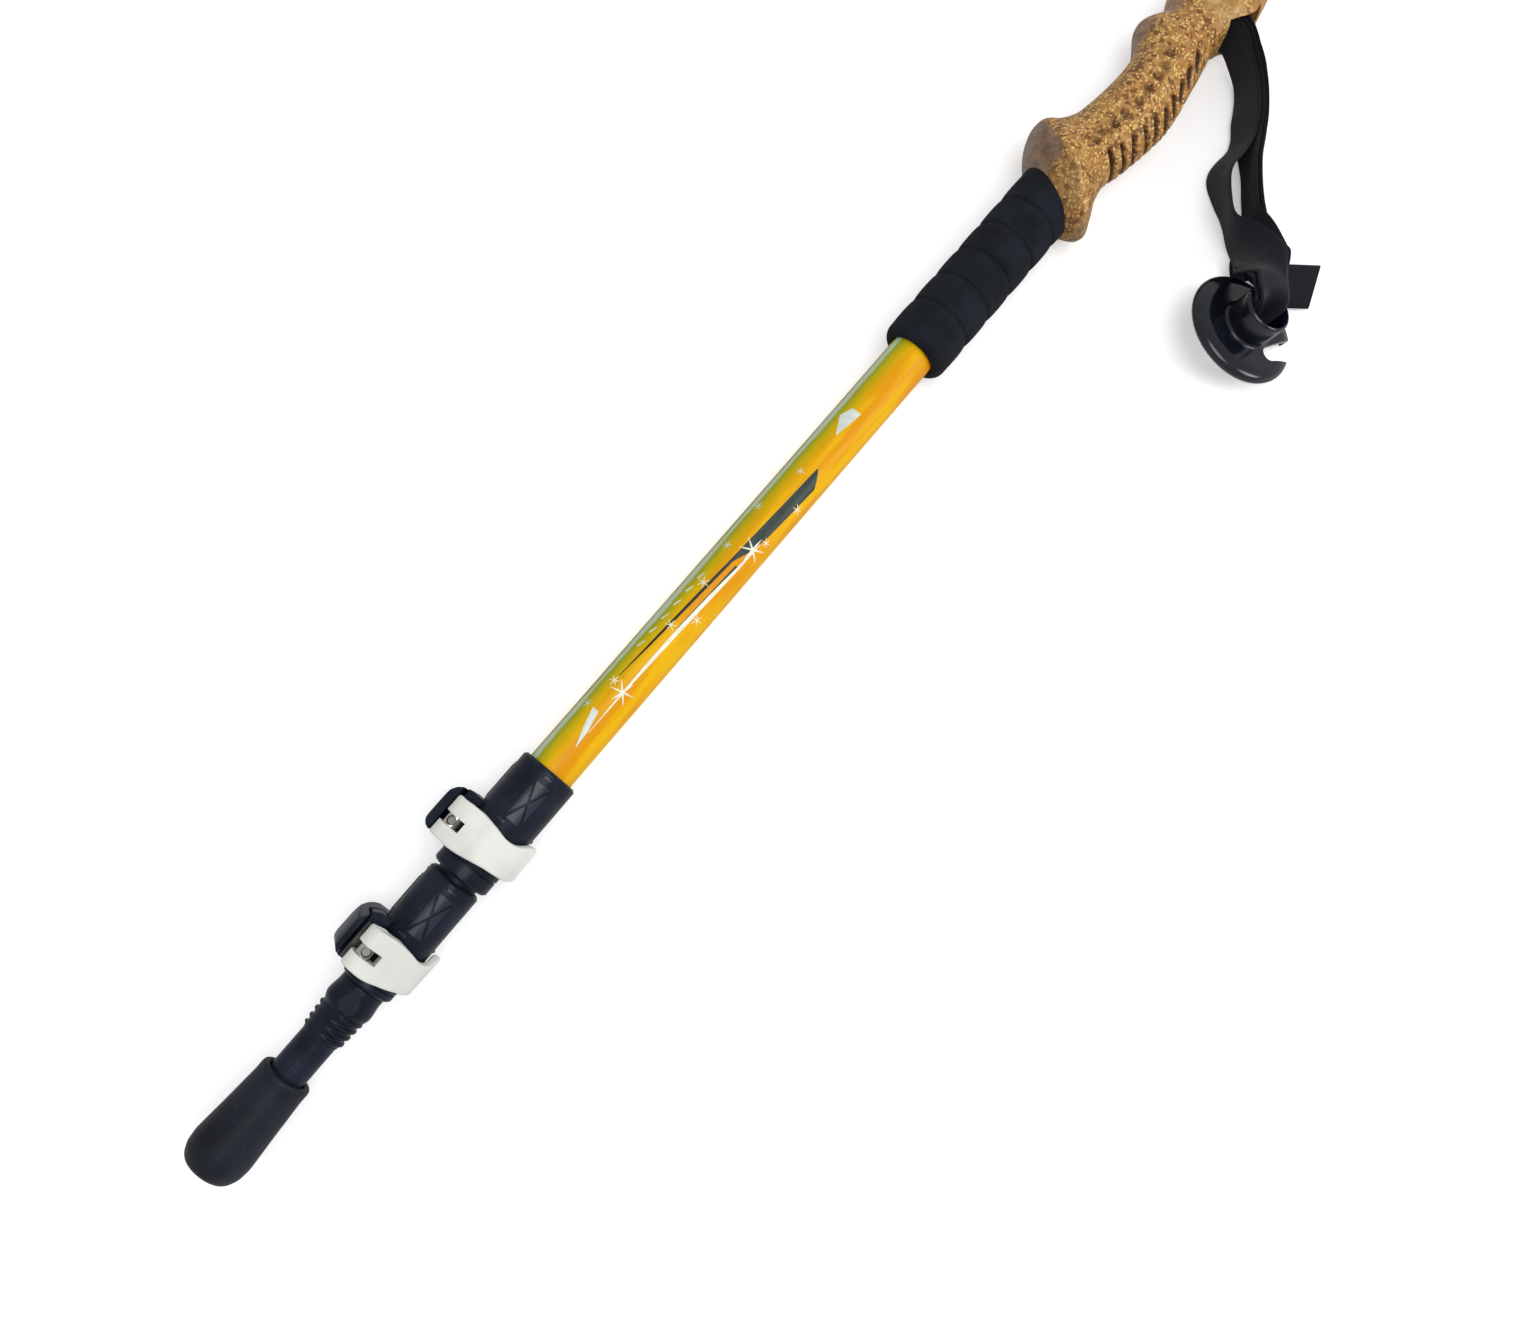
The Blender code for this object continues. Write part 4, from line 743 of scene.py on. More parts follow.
def stripe(name, x, one, two, finish, lift=0.05):
    """Ink between two edges: at each place x the arc runs from edge one to edge two. It is a shell,
    lift thick, whose columns go across on top and back underneath."""
    cols = 10
    t = np.linspace(0, 1, len(x))
    s = np.linspace(0, 1, 48 * (len(x) - 1) + 1)
    along, a, b = (np.interp(s, t, values)[:, None] for values in (x, one, two))
    u = np.linspace(0, 1, cols)
    u = np.concatenate([u, u[::-1]])
    up = np.repeat([lift, 0.01], cols)
    surface(name, on_tube(along, a + (b - a) * u, up), finish, "handle_section", 60.0)


def frost_star(name, x, arc, size, turn, finish):
    """Star with six pointed arms: radius size * (0.15 + 0.85 exp(-d / 0.12)), d the angle from the
    nearest arm's line. Rings go from the middle out on top and back underneath."""
    arms = 6
    lift = 0.07
    a = around(240)
    share = (a - math.radians(turn)) * arms / TAU
    d = np.abs(share - np.round(share)) * TAU / arms
    reach = size * (0.15 + 0.85 * np.exp(-d / 0.12))
    ring = np.array([0.02, 0.3, 0.6, 0.85, 1.0, 1.0, 0.6, 0.02])[:, None]
    up = np.array([lift] * 5 + [0.01] * 3)[:, None]
    dx = ring * reach * np.cos(a)
    darc = np.degrees(ring * reach * np.sin(a) / TUBE_RADIUS)
    surface(name, on_tube(x + dx, arc + darc, up), finish, "handle_section", 60.0)


def make_print():
    """Generic lacquer print: a dark wedge with a long fine line and a short one, a pale sweep, a
    silver sweep at each end, a row of slanting ticks and frost stars."""
    stripe("print_wedge", (316.0, 313.0, 309.5, 296.0, 284.0, 275.0, 267.0),
           (111.5, 110.0, 109.0, 105.3, 101.6, 98.8, 96.4),
           (113.0, 127.0, 140.5, 135.0, 130.2, 119.0, 101.0), DARK_INK)
    stripe("print_line", (270.0, 258.0, 244.0, 226.0, 208.0), (97.4, 93.0, 88.2, 82.2, 76.8),
           (104.6, 100.0, 94.8, 87.6, 77.6), LINE_INK)
    stripe("print_shadow", (268.0, 258.0, 246.0, 236.0), (115.0, 112.6, 109.6, 107.4),
           (124.4, 119.6, 113.4, 107.9), DARK_INK)
    stripe("print_sweep", (280.0, 268.0, 254.0, 238.0, 222.0, 204.0, 188.0),
           (125.6, 120.6, 113.8, 109.4, 107.6, 108.4, 110.4),
           (127.2, 127.0, 123.4, 119.4, 115.6, 112.4, 111.2), PALE_INK, 0.06)
    stripe("print_base_sweep", (196.0, 188.0, 181.5), (80.0, 95.0, 110.0), (97.0, 108.0, 111.0),
           SILVER_INK, 0.055)
    stripe("print_top_sweep", (343.0, 338.0, 330.5), (80.0, 66.0, 92.0), (105.0, 101.0, 93.0),
           SILVER_INK, 0.055)
    for i in range(6):
        x, shift = 222.5 + 6.6 * i, 0.5 * i
        stripe("print_tick_%d" % (i + 1), (x, x + 3.2), (60.0 + shift, 67.0 + shift),
               (64.5 + shift, 70.0 + shift), SILVER_INK)
    stars = (
        (276.5, 121.0, 5.4, 0.0, PALE_INK), (206.5, 109.0, 5.0, 15.0, PALE_INK),
        (299.5, 141.5, 2.6, 10.0, PALE_INK), (255.5, 84.0, 2.6, 30.0, PALE_INK),
        (236.0, 91.5, 2.5, 0.0, PALE_INK), (243.5, 130.5, 2.7, 20.0, PALE_INK),
        (208.0, 77.0, 2.5, 5.0, PALE_INK), (311.0, 84.0, 2.0, 25.0, SILVER_INK),
        (282.0, 136.0, 2.2, 12.0, PALE_INK), (291.0, 60.0, 2.2, 8.0, SILVER_INK),
        (272.0, 66.0, 2.4, 0.0, SILVER_INK), (196.0, 62.0, 2.0, 20.0, SILVER_INK))
    for i, star in enumerate(stars):
        frost_star("print_star_%02d" % (i + 1), *star)


make_tube()
make_print()


# Foam sleeve

FOAM_RADIUS = 13.6
FOAM_BORE = 9.0 + GAP
FOAM_TOP = 464.9
GROOVE_START = FOAM_START + 17.7
GROOVE_PITCH = 14.2
GROOVES = 5


def foam_radius(x):
    """Outer radius of the foam, d the distance from the nearest groove: 13.6, less a groove
    0.78 exp(-(d / 0.62)^2) + 0.25 exp(-(d / 1.9)^2), plus a bulge of 0.16 between grooves, less a
    quarter ellipse, 3.8 long and 3.2 deep, that rounds the lower end."""
    near = np.clip(np.round((x - GROOVE_START) / GROOVE_PITCH), 0, GROOVES - 1)
    off = np.abs(x - GROOVE_START - near * GROOVE_PITCH)
    groove = 0.78 * np.exp(-(off / 0.62) ** 2) + 0.25 * np.exp(-(off / 1.9) ** 2)
    bulge = 0.16 * np.sin(np.clip((off - 1.0) / (GROOVE_PITCH - 2.0), 0, 1) * math.pi)
    start = np.clip((x - FOAM_START) / 3.8, 0, 1)
    edge = 3.2 * (1 - np.sqrt(np.clip(1 - (1 - start) ** 2, 0, 1)))
    return FOAM_RADIUS - groove + bulge - edge


def make_foam_sleeve():
    """Sleeve whose rows run from the straight lower end to the slanting top, where x leans with y,
    and back down the bore."""
    a = around(128)

    def slanting(r):
        return FOAM_TOP + GRIP_SLANT * r * np.cos(a) - FOAM_START

    u = np.concatenate([np.linspace(0, 0.07, 26)[:-1], np.linspace(0.07, 1, 420)])[:, None]
    x = FOAM_START + slanting(FOAM_RADIUS) * u
    r = foam_radius(x)
    x = np.where(u > 0.9985, FOAM_START + slanting(r), x)
    down = np.array([1.0, 0.7, 0.4, 0.1, 0.012, 0.0])[:, None]
    bore = FOAM_BORE + np.array([0.0] * 5 + [0.5])[:, None]
    inner = about_axis(FOAM_START + slanting(bore) * down, bore, a)
    grid = np.concatenate([about_axis(x, r, a), inner])
    sleeve = surface("foam_sleeve", grid, FOAM, "handle_section", 50.0, ring=True)
    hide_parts("foam_grip")


make_foam_sleeve()


# Moulded grip: x above its base on the axis, slant, front, back and side reach

GRIP_STATIONS = (
    (0.0, GRIP_SLANT, 14.0, 13.9, 13.4), (3.4, 0.47, 19.6, 17.2, 15.2),
    (7.8, 0.54, 22.7, 20.0, 17.3), (11.6, 0.6, 23.0, 20.5, 18.3), (15.5, 0.6, 21.6, 19.0, 17.6),
    (21.1, 0.55, 18.3, 15.4, 15.6), (29.1, 0.45, 14.9, 13.6, 14.2), (36.1, 0.3, 13.2, 15.8, 13.6),
    (47.1, 0.12, 11.8, 18.0, 13.5), (57.1, 0.0, 10.9, 19.1, 13.6), (67.1, 0.0, 10.6, 18.2, 13.4),
    (76.1, 0.0, 11.6, 16.9, 13.0), (82.1, 0.0, 14.6, 15.9, 12.9), (88.1, 0.0, 18.4, 14.9, 12.9),
    (93.1, 0.0, 18.9, 14.0, 12.8), (98.1, 0.0, 16.0, 12.8, 12.6), (102.6, 0.0, 13.2, 12.0, 12.6),
    (107.1, 0.0, 15.6, 12.3, 13.2), (112.1, 0.0, 17.6, 14.8, 14.0), (118.1, 0.0, 17.4, 18.2, 14.6),
    (125.1, 0.0, 17.3, 17.6, 14.8), (130.1, 0.0, 16.5, 17.2, 14.6), (135.1, 0.0, 14.5, 15.6, 13.6),
    (139.1, 0.0, 11.0, 12.4, 11.0), (141.4, 0.0, 6.0, 7.4, 6.5),
)
HEAD_START = 99.0
HEAD_BLEND = 9.0
HEAD_SQUARE = 0.52
PIN = np.array([584.6, -3.0])
SLOT_TURN = math.radians(-18.0)
SLOT_FLARE = math.radians(10.0)
SLOT_HALF = 10.8
SLOT_MOUTH = 24.0
SLOT_LIP = 10.5
SLOT_LIP_DEPTH = 12.9
DIMPLES = ((544.0, -1.7), (537.7, -3.7), (531.6, -4.4), (524.8, -4.7), (517.4, -5.3),
           (509.0, -4.2), (502.5, -3.5), (495.9, -1.7), (491.2, -2.6))
SLITS = (
    ((493.2, -8.7), (491.0, -14.3)), ((499.3, -10.7), (496.9, -15.8)),
    ((505.5, -12.1), (502.3, -16.7)), ((512.1, -13.1), (509.8, -17.9)),
    ((518.5, -13.8), (515.4, -18.5)), ((525.2, -14.4), (521.8, -18.2)),
    ((531.5, -13.7), (528.6, -17.4)), ((539.0, -12.8), (534.6, -16.2)),
    ((546.5, -11.2), (541.8, -14.6)), ((554.4, -9.5), (549.8, -13.2)),
)


def about_pin(points):
    """Points given across and along the slot from its pin, as (x, y)."""
    return PIN + swung(points, SLOT_TURN)


def grip_relief(points):
    """Depths to press into the grip, dimples and slits apart. Each is a smooth trough with a slight
    raised rim, by the distance in plan from a dimple's middle or from a slit's segment. Dimples
    fade out towards the grip's edge, where |z| is small."""
    x, y, z = points[..., 0], points[..., 1], points[..., 2]
    bowls, cuts = np.zeros(x.shape), np.zeros(x.shape)
    face = ease((np.abs(z) - 5.0) / 3.0)
    for cx, cy in DIMPLES:
        d = np.hypot(x - cx, y - cy)
        bowls += face * (1.6 * ease(1.7 - d / 1.6) - 0.6 * np.exp(-((d - 2.9) / 0.4) ** 2))
    for (x1, y1), (x2, y2) in SLITS:
        dx, dy = x2 - x1, y2 - y1
        t = np.clip(((x - x1) * dx + (y - y1) * dy) / (dx * dx + dy * dy), 0, 1)
        d = np.hypot(x - x1 - t * dx, y - y1 - t * dy)
        cuts += 2.2 * ease(1.4 - d / 1.05) - 0.3 * np.exp(-((d - 1.8) / 0.4) ** 2)
    return bowls, cuts


def grip_skin(a, rows):
    """Skin through the stations, its rows evenly spaced: y is cos a times the front or back reach,
    z is sin a times the side reach and x leans with y. Round the slot the back half is squared off:
    |cos a| and |sin a| go to the power 1 - 0.52. The relief goes in along the ring's own normal in
    the Y-Z plane, and a fine ridge stands up where the flange is widest."""
    stations = through(GRIP_STATIONS, 16)
    steps = np.linalg.norm(np.diff(stations[:, [0, 2, 3]], axis=0), axis=1)
    length = np.concatenate([[0.0], np.cumsum(steps)])
    even = np.linspace(0.0, length[-1], rows)
    rise, slant, front, back, side = (np.interp(even, length, column)[:, None]
                                      for column in stations.T)
    cosine, sine = np.cos(a)[None], np.sin(a)[None]
    top = GRIP_STATIONS[-1][0]
    squared = (np.clip((rise - HEAD_START) / HEAD_BLEND, 0, 1)
               * np.clip((top - rise) / HEAD_BLEND, 0, 1))
    power = np.where(cosine < 0, 1.0 - HEAD_SQUARE * squared, 1.0)
    reach = np.where(cosine > 0, front, back)
    y = reach * np.sign(cosine) * np.abs(cosine) ** power
    z = side * np.sign(sine) * np.abs(sine) ** power
    skin = np.stack([GRIP_X + rise + slant * y, y, z], axis=-1)
    normal = np.stack([np.zeros_like(y), cosine / reach, sine / side], axis=-1)
    normal /= np.linalg.norm(normal, axis=-1, keepdims=True)
    ridge = 0.4 * np.exp(-((rise - 11.7) / 1.0) ** 2) * ease((10.0 - y) / 5.0)
    bowls, cuts = grip_relief(skin)
    return skin + normal * (ridge - bowls - cuts)[..., None]


def make_grip():
    """Skin of the grip, closed round the bore for the tube, with the strap's slot, the cut-back
    lower lip of its mouth and the hole for the pin carved out. A point attribute is 1 where the
    relief is deep; the cork's colour is darkened there as painted shade."""
    a = around(232)
    bore = TUBE_RADIUS + GAP
    deep = TUBE_END + 1.5
    ring = np.stack([np.cos(a) * bore, np.sin(a) * bore], axis=-1)
    inner = [np.column_stack([np.full(len(a), x), ring])
             for x in (deep, deep - 0.4, deep - 40.0, 476.0)]
    inner.append(np.column_stack([GRIP_X + GRIP_SLANT * ring[:, 0], ring]))
    grid = np.concatenate([np.stack(inner), grip_skin(a, 376)])
    grip = surface("cork_handle", grid, CORK, "handle_section", 45.0)

    over = PIN_RADIUS + GAP + WEB_THICK + WEB_PITCH + 0.5
    half = over / math.cos(SLOT_FLARE)
    wide = half + SLOT_MOUTH * math.tan(SLOT_FLARE)
    lip = half + SLOT_LIP * math.tan(SLOT_FLARE)
    mouth = [(-wide, -SLOT_MOUTH), (wide, -SLOT_MOUTH)]
    arc = np.radians(np.linspace(0, 180, 25))[1:-1]
    slot = mouth + [(half, 0.0)] + [(over * math.cos(t), over * math.sin(t)) for t in arc]
    slot += [(-half, 0.0)]
    lower = mouth + [(lip, -SLOT_LIP), (-lip, -SLOT_LIP)]
    hole = PIN + (PIN_RADIUS + GAP) * np.stack([np.cos(a[::8]), np.sin(a[::8])], axis=1)
    carve(grip, 45.0, prism("slot_cutter", about_pin(slot), -SLOT_HALF, SLOT_HALF),
          prism("lip_cutter", about_pin(lower), -SLOT_LIP_DEPTH, 0.0),
          prism("pin_cutter", hole, -30.0, 12.5))
    mesh = grip.data
    bowls, cuts = grip_relief(points_of(mesh) / MM)
    # Mask of the deep relief, for painted shade in the cork's colour.
    recess_shade = np.clip(np.maximum(0.42 * bowls, 1.1 * cuts), 0, 1).astype(np.float32)
    mesh.attributes.new("recess_shade", "FLOAT", "POINT").data.foreach_set("value", recess_shade)
    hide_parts("cork_grip")


make_grip()


# Wrist strap

FLOOR_Z = -18.1
ACROSS = np.linspace(-WEB_WIDTH / 2, WEB_WIDTH / 2, 9)
BASKET_CENTRE = np.array([473.5, -93.0, -3.0])
BASKET_TILT = math.radians(23.2)
BASKET_LEAN = math.radians(-39.4)
STRAP_ENTRY = math.radians(38.5)
BASKET_RADIUS = 23.7
BASKET_WALL = 1.8
BASKET_SKIRT = 5.2
BASKET_BORE = 7.75
HUB_RADIUS = 10.0
HUB_HEIGHT = 12.0

# Stations of the webbing: (x, y, twist) stands on its edge on the ground, (x, y, z, twist) is free
BY_THE_SLOT = ((577.2, -21.9, -3.2, 90.0), (573.0, -29.0, -6.0, 93.0), (566.6, -34.6, -7.4, 99.0),
               (559.6, -38.9, -7.6, 104.0), (552.5, -43.4, -7.6, 104.0))
OUTER_RUN = (
    (545.4, -44.6, 108.0), (539.0, -45.0, 114.0), (533.2, -45.0, 114.0), (528.2, -46.4, 106.0),
    (523.6, -49.0, 95.0), (519.4, -52.6, 88.0), (515.3, -56.9, 82.0), (511.1, -61.2, 80.0),
    (506.8, -65.8, -7.2, 86.0), (502.8, -71.4, -4.2, 102.0), (498.4, -76.6, 1.0, 130.0),
    (493.8, -81.8, 6.4, 158.0))
INNER_RUN = (
    (545.0, -48.6, 95.0), (537.3, -53.6, 87.0), (529.5, -58.8, 86.0), (522.2, -64.1, 86.0),
    (515.4, -69.2, -7.8, 90.0), (508.8, -73.6, -5.0, 112.0), (501.9, -78.1, -0.8, 140.0),
    (495.8, -82.8, 4.2, 163.0))
TAIL_RUN = (
    (546.2, -50.3, 95.0), (538.5, -55.3, 87.0), (530.7, -60.5, 86.0), (523.6, -65.8, 86.0),
    (517.4, -70.8, 88.0), (513.0, -74.4, 94.0), (509.2, -77.4, 122.0), (505.9, -79.9, 152.0),
    (503.7, -83.2, FLOOR_Z + WEB_THICK / 2, 176.0))


def web_frames(path):
    """Width and face directions along a path of (x, y, z, twist in degrees)."""
    along = np.gradient(path[:, :3], axis=0)
    along /= np.linalg.norm(along, axis=1)[:, None]
    side = np.stack([along[:, 1], -along[:, 0], np.zeros(len(path))], axis=1)
    side /= np.linalg.norm(side, axis=1)[:, None]
    up = np.cross(side, along)
    twist = np.radians(path[:, 3])[:, None]
    width = np.cos(twist) * side + np.sin(twist) * up
    return width, np.cross(width, along)


def run(start, stations):
    """Rows of webbing through the first stations and then those of a table."""
    path = list(start)
    for station in stations:
        if len(station) == 3:
            x, y, twist = station
            lean = math.radians(twist)
            z = FLOOR_Z + WEB_WIDTH / 2 * abs(math.sin(lean))
            station = x, y, z + WEB_THICK / 2 * (abs(math.cos(lean)) + 0.3), twist
        path.append(station)
    path = through(path, 2)
    width, _ = web_frames(path)
    return list(path[:, None, :3] + ACROSS[None, :, None] * width[:, None])


def upright_row(across, along):
    x, y = about_pin((across, along))
    return np.stack([np.full(len(ACROSS), x), np.full(len(ACROSS), y), ACROSS], axis=1)


def basket_axes():
    n = np.array([math.sin(BASKET_TILT) * math.cos(BASKET_LEAN),
                  math.sin(BASKET_TILT) * math.sin(BASKET_LEAN), math.cos(BASKET_TILT)])
    entry = np.array([math.cos(STRAP_ENTRY), math.sin(STRAP_ENTRY), 0.0])
    e1 = entry - entry.dot(n) * n
    e1 /= np.linalg.norm(e1)
    return e1, np.cross(n, e1), n


def curled_row(radius, curl, height):
    """Row curled about the hub's axis: distance from the axis, curl radius, height on the hub."""
    e1, e2, n = basket_axes()
    a = -ACROSS / curl
    round_hub = np.outer(np.cos(a), e1) + np.outer(np.sin(a), e2)
    return BASKET_CENTRE + n * height + radius * round_hub


def hub_rows():
    """Rows down through the hub beside its bore, round under it and back up outside the first."""
    rim = HUB_HEIGHT
    bore = BASKET_BORE - 0.35 - WEB_THICK / 2
    inside = bore - WEB_PITCH
    rows = [(14.6, 17.0, rim + 3.35), (inside + 5.6, inside + 7.0, rim + 3.3),
            (inside + 2.8, inside + 3.8, rim + 3.15), (inside + 1.0, inside + 1.5, rim + 2.1),
            (inside + 0.15, inside + 0.4, rim + 0.4), (inside, inside, rim - 2.0),
            (inside, inside, -BASKET_WALL - 2.0)]
    for t in np.radians((145, 90, 35)):
        radius = (bore + inside) / 2 + WEB_PITCH / 2 * math.cos(t)
        rows.append((radius, radius, -BASKET_WALL - 3.0 - WEB_PITCH / 2 * math.sin(t)))
    rows += [(bore, bore, -BASKET_WALL - 2.0), (bore, bore, rim - 4.0),
             (bore + 0.05, bore + 0.2, rim - 1.5), (7.4, 7.8, rim + 0.4), (8.7, 9.2, rim + 1.1),
             (10.6, 11.4, rim + 1.2), (14.0, 15.5, rim + 1.35)]
    return [curled_row(*row) for row in rows]


def fold_rows():
    """Rows of the tail's end: a half turn about the slanting crease, whose line halves the angle
    between the ways in and out, then the flat end with its slanting cut."""
    knee = np.array([501.1, -87.3, FLOOR_Z + WEB_THICK / 2])
    came = np.array([-0.85, -0.527, 0.0])
    goes = np.array([0.6, -0.8, 0.0])
    up = np.array([0.0, 0.0, WEB_PITCH / 2])
    crease = came + goes
    crease /= np.linalg.norm(crease)
    width_in = np.array([-came[1], came[0], 0.0])
    if width_in.dot(crease) < 0:
        crease = -crease
    stretch = 1.0 / abs(width_in.dot(crease))
    out = came - goes
    out *= WEB_PITCH / 2 / np.linalg.norm(out)
    rows = []
    for t in np.radians((-90, -30, 30, 90)):
        centre = knee + out * math.cos(t) + up * (1 + math.sin(t))
        rows.append(centre + np.outer(ACROSS * stretch, crease))
    flat = knee + 2 * up + np.outer(ACROSS, 2 * width_in.dot(crease) * crease - width_in)
    return rows + [flat + goes * 7.0, flat + goes * 14.0,
                   flat + np.outer(21.4 - 3.2 * ACROSS / 10.0, goes)]


def strap_rows():
    """Rows of the strap's middle surface in order: stub, round the pin, outer run, through the
    basket's hub and back, inner run, round the pin, tail and its diagonal fold."""
    inner = PIN_RADIUS + GAP + WEB_THICK / 2
    outer = inner + WEB_PITCH
    common = np.array([(*about_pin((-inner, -6.0)), 0.0, 90.0),
                       (*about_pin((-inner + 0.8, -10.5)), 0.0, 90.0),
                       (*about_pin((-0.9, -15.0)), -0.8, 90.0), *BY_THE_SLOT])
    _, face = web_frames(common)
    over, under = common.copy(), common.copy()
    over[:, :3] -= WEB_PITCH * face
    apart = np.array([2 * inner, 2 * inner - 1.6, 2.2] + [WEB_PITCH] * len(BY_THE_SLOT))
    under[:, :3] += apart[:, None] * face

    def round_pin(radius, degrees):
        return [upright_row(radius * math.cos(t), radius * math.sin(t))
                for t in np.radians(degrees)]

    rows = [upright_row(outer, -8.0), upright_row(outer, -3.0)]
    rows += round_pin(outer, range(0, 181, 30)) + run(over, OUTER_RUN) + hub_rows()
    rows += run(common, INNER_RUN)[::-1] + round_pin(inner, range(180, -1, -30))
    return np.array(rows + run(under, TAIL_RUN) + fold_rows())


def make_strap():
    """Webbing: rows refined along and across, then given a section that goes over the top and back
    underneath, half thick t(u) = 0.7 (1 - u^14)^0.5 with a slight bead at each selvage."""
    fine = through(strap_rows(), 6)
    middle = through(fine.swapaxes(0, 1), 2).swapaxes(0, 1)
    u = np.linspace(-1, 1, middle.shape[1])
    face = np.cross(np.gradient(middle, axis=1), np.gradient(middle, axis=0))
    face /= np.linalg.norm(face, axis=-1, keepdims=True) + 1e-9
    bead = 0.94 + 0.08 * np.exp(-((np.abs(u) - 0.88) / 0.05) ** 2)
    half = WEB_THICK / 2 * np.sqrt(np.clip(1 - np.abs(u) ** 14, 0.0, 1)) * bead
    half = np.maximum(half, 0.12)[None, :, None]
    grid = np.concatenate([middle + face * half, (middle - face * half)[:, ::-1]], axis=1)
    step = np.linalg.norm(np.diff(middle[:, len(u) // 2], axis=0), axis=1)
    length = np.concatenate([[0], np.cumsum(step)]) / WEB_WIDTH
    su = np.concatenate([(u + 1) / 2, (u[::-1] + 1) / 2])
    uv = np.stack(np.broadcast_arrays(su[None], length[:, None]), axis=-1)
    strap = surface("webbing_strap", grid, WEBBING, "strap", 60.0, uv=uv)
    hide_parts("wrist_strap")


make_strap()


# Mud basket

NOTCH_HALF = 3.2
NOTCH_LENGTH = 20.0
NOTCH_FLARE = math.radians(6.0)
NOTCH_TURN = math.radians(-70.5)
NOTCH_END = (-10.7, -9.4)
FLAT_REACH = 21.6
FLAT_TURN = math.radians(-73.0)


def make_basket():
    """Turned dish with hub: rounded profile round the hub's axis, then the snap notch and the flat
    beside it are cut, and the whole is laid over in its place."""
    r, wall, skirt, bore, hub = BASKET_RADIUS, BASKET_WALL, BASKET_SKIRT, BASKET_BORE, HUB_RADIUS
    top = HUB_HEIGHT
    outer = [
        (-skirt, r - 2.4), (-skirt, r - 0.9), (-skirt + 1.2, r - 0.2), (-2.9, r), (-1.3, r - 1.2),
        (-0.5, r - 3.4), (-0.1, r - 5.0), (0.0, r - 8.0), (0.0, hub + 0.8), (0.8, hub),
        (top - 0.8, hub), (top, hub - 0.8), (top, bore + 1.1), (top - 1.8, bore),
        (-wall + 1.0, bore), (-wall, bore + 1.0), (-wall, r - 8.0), (-wall - 0.6, r - 4.2),
        (-2.9, r - wall - 0.3), (-skirt, r - 0.9 - wall),
    ]
    profile = rounded(outer + outer[:2], 0.9, 5)[6:-1]
    basket = turned("mud_basket_shell", profile, GLOSSY, None, 144, 30.0, ring=True)
    axes = basket_axes()
    lay = Matrix(axes).transposed().to_4x4()
    lay.translation = Vector(BASKET_CENTRE.tolist()) * MM
    basket.data.transform(lay @ Matrix.Rotation(-math.pi / 2, 4, "Y"))

    def lay_down(p):
        return BASKET_CENTRE + p @ np.array(axes)

    t = np.radians(np.linspace(90, 270, 17))
    mouth = NOTCH_HALF + NOTCH_LENGTH * math.tan(NOTCH_FLARE)
    notch = [(NOTCH_HALF * math.cos(s), NOTCH_HALF * math.sin(s)) for s in t]
    notch += [(NOTCH_LENGTH, -mouth), (NOTCH_LENGTH, mouth)]
    flat = [(FLAT_REACH, -20.0), (32.0, -20.0), (32.0, 20.0), (FLAT_REACH, 20.0)]
    carve(basket, 30.0,
          prism("notch_cutter", swung(notch, NOTCH_TURN) + NOTCH_END, -20.0, 17.0, lay_down),
          prism("flat_cutter", swung(flat, FLAT_TURN), -20.0, 17.0, lay_down))
    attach(basket, "basket")
    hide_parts("mud_basket")


make_basket()


# Foot and ferrule

THREAD_START = 54.8
THREAD_PITCH = 2.75
THREAD_HEIGHT = 0.85
COLLAR_FLAT = 8.1


def make_foot():
    """Rubber foot: rounded outer profile down to the sole, with the tapered bore above it."""
    high = FOOT_TOP
    profile = [(3.0, 0.02), (3.0, 4.8), (8.0, 4.8), (36.0, 6.9), (high, 6.9), (high, 8.85),
               (high - 0.8, 9.45), (high - 4.5, 9.4), (20.0, 10.3), (12.0, 10.95), (8.4, 11.2),
               (4.4, 10.75), (1.5, 9.4), (0.0, 7.8), (0.0, 0.02)]
    foot = turned("rubber_foot_shell", rounded(profile, 0.9, 6), RUBBER, "foot", 112, 30.0)
    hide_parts("rubber_foot")


